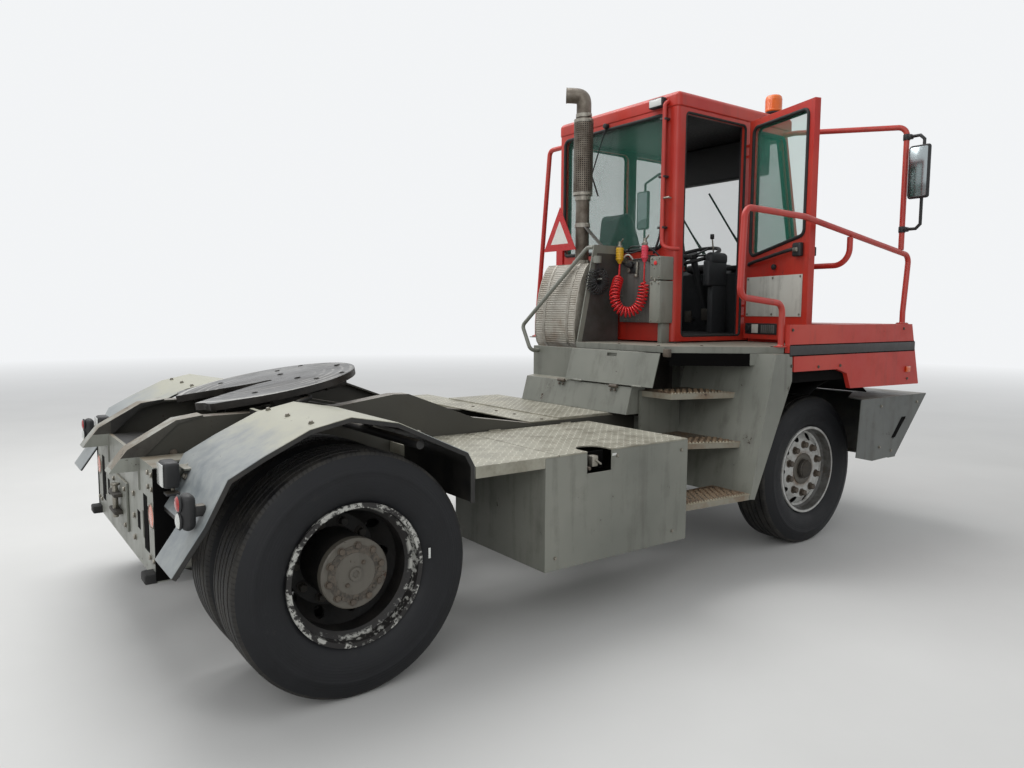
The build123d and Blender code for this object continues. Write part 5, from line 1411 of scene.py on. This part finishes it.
# %% Teeth and rings on the treads
tooth_step, ring_step, row_step = 0.022, 0.042, 0.036
treads = [((0.038, -1.2), (0.605, -1.245), 0.51, 0.22), ((0.038, -0.835), (0.66, -1.11), 0.8, 0.2),
          ((0.325, -0.86), (0.73, -0.987), 1.09, 0.22)]
for (x0, y0), (x1, y1), z, deep in treads:
    a, b = Vector((x0, y0, z)), Vector((x1, y1, z))
    way = (b - a).normalized()
    inward = Vector((-way.y, way.x, 0))
    length = (b - a).length
    bpy.ops.mesh.primitive_cone_add(vertices=4, radius1=0.009, radius2=0.003, depth=0.006, location=(0, 0, 0.003))
    tooth = laid(settle(bpy.context.object, tread_edge))
    copies(tooth, [a + way * (0.012 + tooth_step * i) + inward * 0.012 for i in range(int(length / tooth_step))])
    rim = turned([(0.008, 0), (0.0115, 0.004), (0.014, 0.0), (0.008, 0)], (0, 0, 0), (0, 0, 1), tread_rust, 10)
    spots = [a + way * (0.03 + ring_step * (i + 0.5 * (row % 2))) + inward * (0.04 + row_step * row)
             for row in range(int(deep / row_step)) for i in range(int(length / ring_step) - 1)]
    copies(rim, spots)
    # A near-black disc in each ring is painted shade in its hole.
    copies(bar((0, 0, 0.0002), (0, 0, 0.0012), 0.0078, shade_and_soot, 0.0, 8), spots)
    drop = inward * 0.002 - Vector((0, 0, 0.003))
    bar(a + drop, b + drop, 0.0035, tread_edge, 0.0, 8)
fitted("step_grids", "chassis")

# %% Dress the decks, the flap and the box
(xa, ya), (xb, yb) = (0.352, -0.772), (0.929, -1.212)
# The near-black sheets under the deck's edge are painted shade in the recess; the grey one between them is sheet.
for share0, share1, low, high, finish, off in ((0.04, 0.72, 1.256, 1.333, shade_and_soot, 0.004),
                                               (0.72, 0.985, 1.262, 1.3345, grey_coat, 0.006),
                                               (0.0, 0.04, 1.29, 1.334, shade_and_soot, 0.004)):
    side_way = Vector((yb - ya, xa - xb)).normalized() * off
    ends = [(xa + (xb - xa) * t + side_way.x, ya + (yb - ya) * t + side_way.y) for t in (share0, share1)]
    sheet = slab([(ends[0][0], low), (ends[1][0], low), (ends[1][0] - 0.002, high), (ends[0][0], high)], 0, 0.003,
                 finish)
    for vertex in sheet.data.vertices:
        t = (vertex.co.x - ends[0][0]) / (ends[1][0] - ends[0][0])
        vertex.co.y += ends[0][1] + (ends[1][1] - ends[0][1]) * t
block((0.33, -0.82, 1.31), (0.36, -0.775, 1.36), rusty_nut, 0.004)
for y0 in (-0.474, 0.047):
    bar((0.245, y0 + 0.004, 1.109), (0.245, y0 + 0.075, 1.109), 0.011, rusty_nut)
    bolts([(0.243, y0 + 0.02, 1.085), (0.243, y0 + 0.06, 1.085)], (-1, 0, 0.3), 0.007, rusty_nut)
bolts([(0.372, y, 1.3755) for y in (-0.7, -0.35, 0.0)] + [(x, y, 1.3755)
                                                          for x, y in ((0.6, -0.85), (0.9, -1.15), (1.2, -1.15),
                                                                       (1.5, -1.15), (1.5, -0.55), (0.75, -0.5))],
      (0, 0, 1), 0.009, rusty_nut, 0.3)
for x in (-0.3, 0.0, 0.02):
    bolts([(x, s * y, 0.9285) for s in (-1, 1) for y in (0.1, 0.38)], (0, 0, 1), 0.009, rusty_nut, 0.3)
for s in (-1, 1):
    bolts([(0.7 + 0.3 * i, s * 0.4305, z) for i in range(6) for z in (0.7, 0.85)], (0, s, 0), 0.012, rusty_nut)
    bolts([(-1.2 + 0.22 * i, s * 0.4305, 0.72 + 0.05 * (i % 2)) for i in range(5)], (0, s, 0), 0.012, rusty_nut)
    bolts([(-2.42 + 0.12 * i, s * 0.4385, 0.95) for i in range(3)], (0, s, 0), 0.012, rusty_nut)
for at, foot in (((0.924, -1.195), 1.3753), ((0.879, 1.175), 1.3753), ((2.379, -1.195), 1.5123)):
    turned([(0, 0), (0.042, 0), (0.042, 0.006), (0.024, 0.008), (0.02, 0.014)], (*at, foot), (0, 0, 1), rail_coat, 28)
    bolts([(at[0] + 0.032 * math.cos(a), at[1] + 0.032 * math.sin(a), foot + 0.006)
           for a in (0.8, 2.37, 3.94, 5.5)], (0, 0, 1), 0.005)
fitted("deck_fittings", "chassis")
# The near-black plate is painted shade inside the box's notch.
block((-0.695, -1.19, 0.795), (-0.545, -1.186, 0.885), shade_and_soot, 0.0)
block((-0.655, -1.235, 0.815), (-0.615, -1.19, 0.87), zinc, 0.006)
bar((-0.635, -1.236, 0.85), (-0.6, -1.238, 0.825), 0.006, zinc)
bar((-0.675, -1.24, 0.81), (-0.675, -1.2, 0.81), 0.009, rusty_nut)
bolts([(x, -1.2505, z) for x, z in ((-0.08, 0.4), (-0.9, 0.4), (-0.02, 0.84), (-0.5, 0.86))], (0, -1, 0), 0.008)
block((-0.535, -1.2515, 0.862), (-0.505, -1.25, 0.874), white_lens, 0.0004)
bar((-0.62, 1.05, 0.9), (-0.62, 1.05, 0.935), 0.055, moulding, 0.01, 32)
bar((-0.62, 1.05, 0.93), (-0.62, 1.05, 0.95), 0.035, zinc, 0.004, 24)
for x in (-0.8, -0.35):
    block((x - 0.025, 0.47, 0.397), (x + 0.025, 1.2425, 0.4005), bright_edge, 0.001)
    block((x - 0.025, 1.2395, 0.44), (x + 0.025, 1.2435, 0.86), bright_edge, 0.001)
    bolts([(x, 1.2435, 0.46), (x, 1.2435, 0.84)], (0, 1, 0), 0.009)
fitted("box_lock_and_tank_straps", "chassis")

# %% [markdown]
# ## Underneath
# Leaf springs are held to the axles by U-bolts and clamp plates. Turned brake chambers sit on both axles, two air
# tanks hang between the rails, and hoses and pipes run along the frame. The engine gets its ribs, sump bolts,
# filter, belts and manifold, so that nothing there is a bare block.

# %% Springs, brakes, tanks and lines
for s in (-1, 1):
    for x in (front_x - 0.06, front_x + 0.06):
        pipe([(x, s * 0.35, 0.4), (x, s * 0.35, 0.64), (x, s * 0.355, 0.655), (x, s * 0.415, 0.655),
              (x, s * 0.42, 0.64), (x, s * 0.42, 0.4)], 0.009, rusty_nut)
        bolts([(x, s * y, 0.398) for y in (0.35, 0.42)], (0, 0, -1), 0.013, rusty_nut)
    plank(front_x - 0.09, front_x + 0.09, s * 0.385, 0.055, 0.412, 0.428, cast_iron)
    for axle_x, y, z in ((front_x - 0.14, 0.5, 0.56), (rear_x + 0.17, 0.42, 0.6)):
        way = Vector((-0.25 if axle_x > 0 else 1.0, 0, 0.15)).normalized()
        turned([(0, 0), (0.05, 0), (0.072, 0.02), (0.076, 0.05), (0.082, 0.052), (0.082, 0.062), (0.076, 0.064),
                (0.07, 0.1), (0.045, 0.115), (0, 0.116)], (axle_x, s * y, z), way, cast_iron, 32)
        bar(Vector((axle_x, s * y, z)) - way * 0.06, (axle_x, s * y, z), 0.012, zinc)
        hose([(axle_x, s * y, z + 0.08), (axle_x, s * (y - 0.05), z + 0.16), (axle_x - 0.1, s * 0.33, z + 0.16),
              (axle_x - 0.3, s * 0.325, z + 0.2)], 0.009, cable_black)
for y in (-0.2, 0.2):
    turned([(0, 0), (0.06, 0.004), (0.095, 0.025), (0.1, 0.05), (0.1, 0.35), (0.095, 0.375), (0.06, 0.396),
            (0, 0.4)], (0.62, y, 0.5), (1, 0, 0), black_coat, 36)
    for x in (0.7, 0.94):
        collar(0.1005, 0.104, -0.015, 0.015, (x, y, 0.5), (1, 0, 0), zinc, 36)
        bar((x, y, 0.6), (x, y, 0.645), 0.01, zinc)
    bar((0.82, y, 0.4), (0.82, y, 0.385), 0.012, zinc)
for i, (y, z) in enumerate(((-0.336, 0.86), (-0.336, 0.835), (-0.336, 0.8), (0.336, 0.86), (0.336, 0.83))):
    hose([(-1.55, y, z), (-0.9, y, z - 0.01), (-0.2, y, z + 0.004), (0.5, y, z - 0.008), (1.1, y, z)],
         0.009 - 0.001 * (i % 3), cable_black)
for x in (-1.3, -0.7, -0.1, 0.5):
    for s in (-1, 1):
        block((x - 0.012, s * 0.334 - 0.014, 0.79), (x + 0.012, s * 0.334 + 0.004 * s, 0.875), zinc, 0.003)
fitted("springs_brakes_and_lines", "chassis")

# %% Dress the engine and the axle's middle
for s in (-1, 1):
    for i in range(9):
        block((-0.5 + 0.11 * i, s * 0.302 - 0.008, 0.74), (-0.482 + 0.11 * i, s * 0.302 + 0.008, 1.1), cast_iron,
              0.003)
    hose([(-0.5, s * 0.33, 1.14), (0.3, s * 0.33, 1.14), (0.38, s * 0.3, 1.1)], 0.032, cast_iron)
    bar((-0.2, s * 0.34, 0.66), (-0.2, s * 0.34, 0.84), 0.045, yellow_plastic if s < 0 else black_coat, 0.01)
for i in range(8):
    bar((-0.45 + 0.11 * i, 0.31, 1.18), (-0.45 + 0.11 * i, 0.2, 1.22), 0.012, zinc)
hose([(0.3, -0.2, 1.2), (0.42, -0.24, 1.22), (0.5, -0.25, 1.1), (0.52, -0.2, 0.95)], 0.03, seal_rubber)
for y, z in ((0, 0.85), (0.18, 1.0)):
    turned([(0, 0), (0.09, 0), (0.09, 0.006), (0.082, 0.01), (0.082, 0.022), (0.09, 0.026), (0.09, 0.032),
            (0.03, 0.034), (0, 0.034)], (0.36, y, z), (1, 0, 0), cast_iron, 32)
fitted("engine_dressing", "chassis", x=front_x)
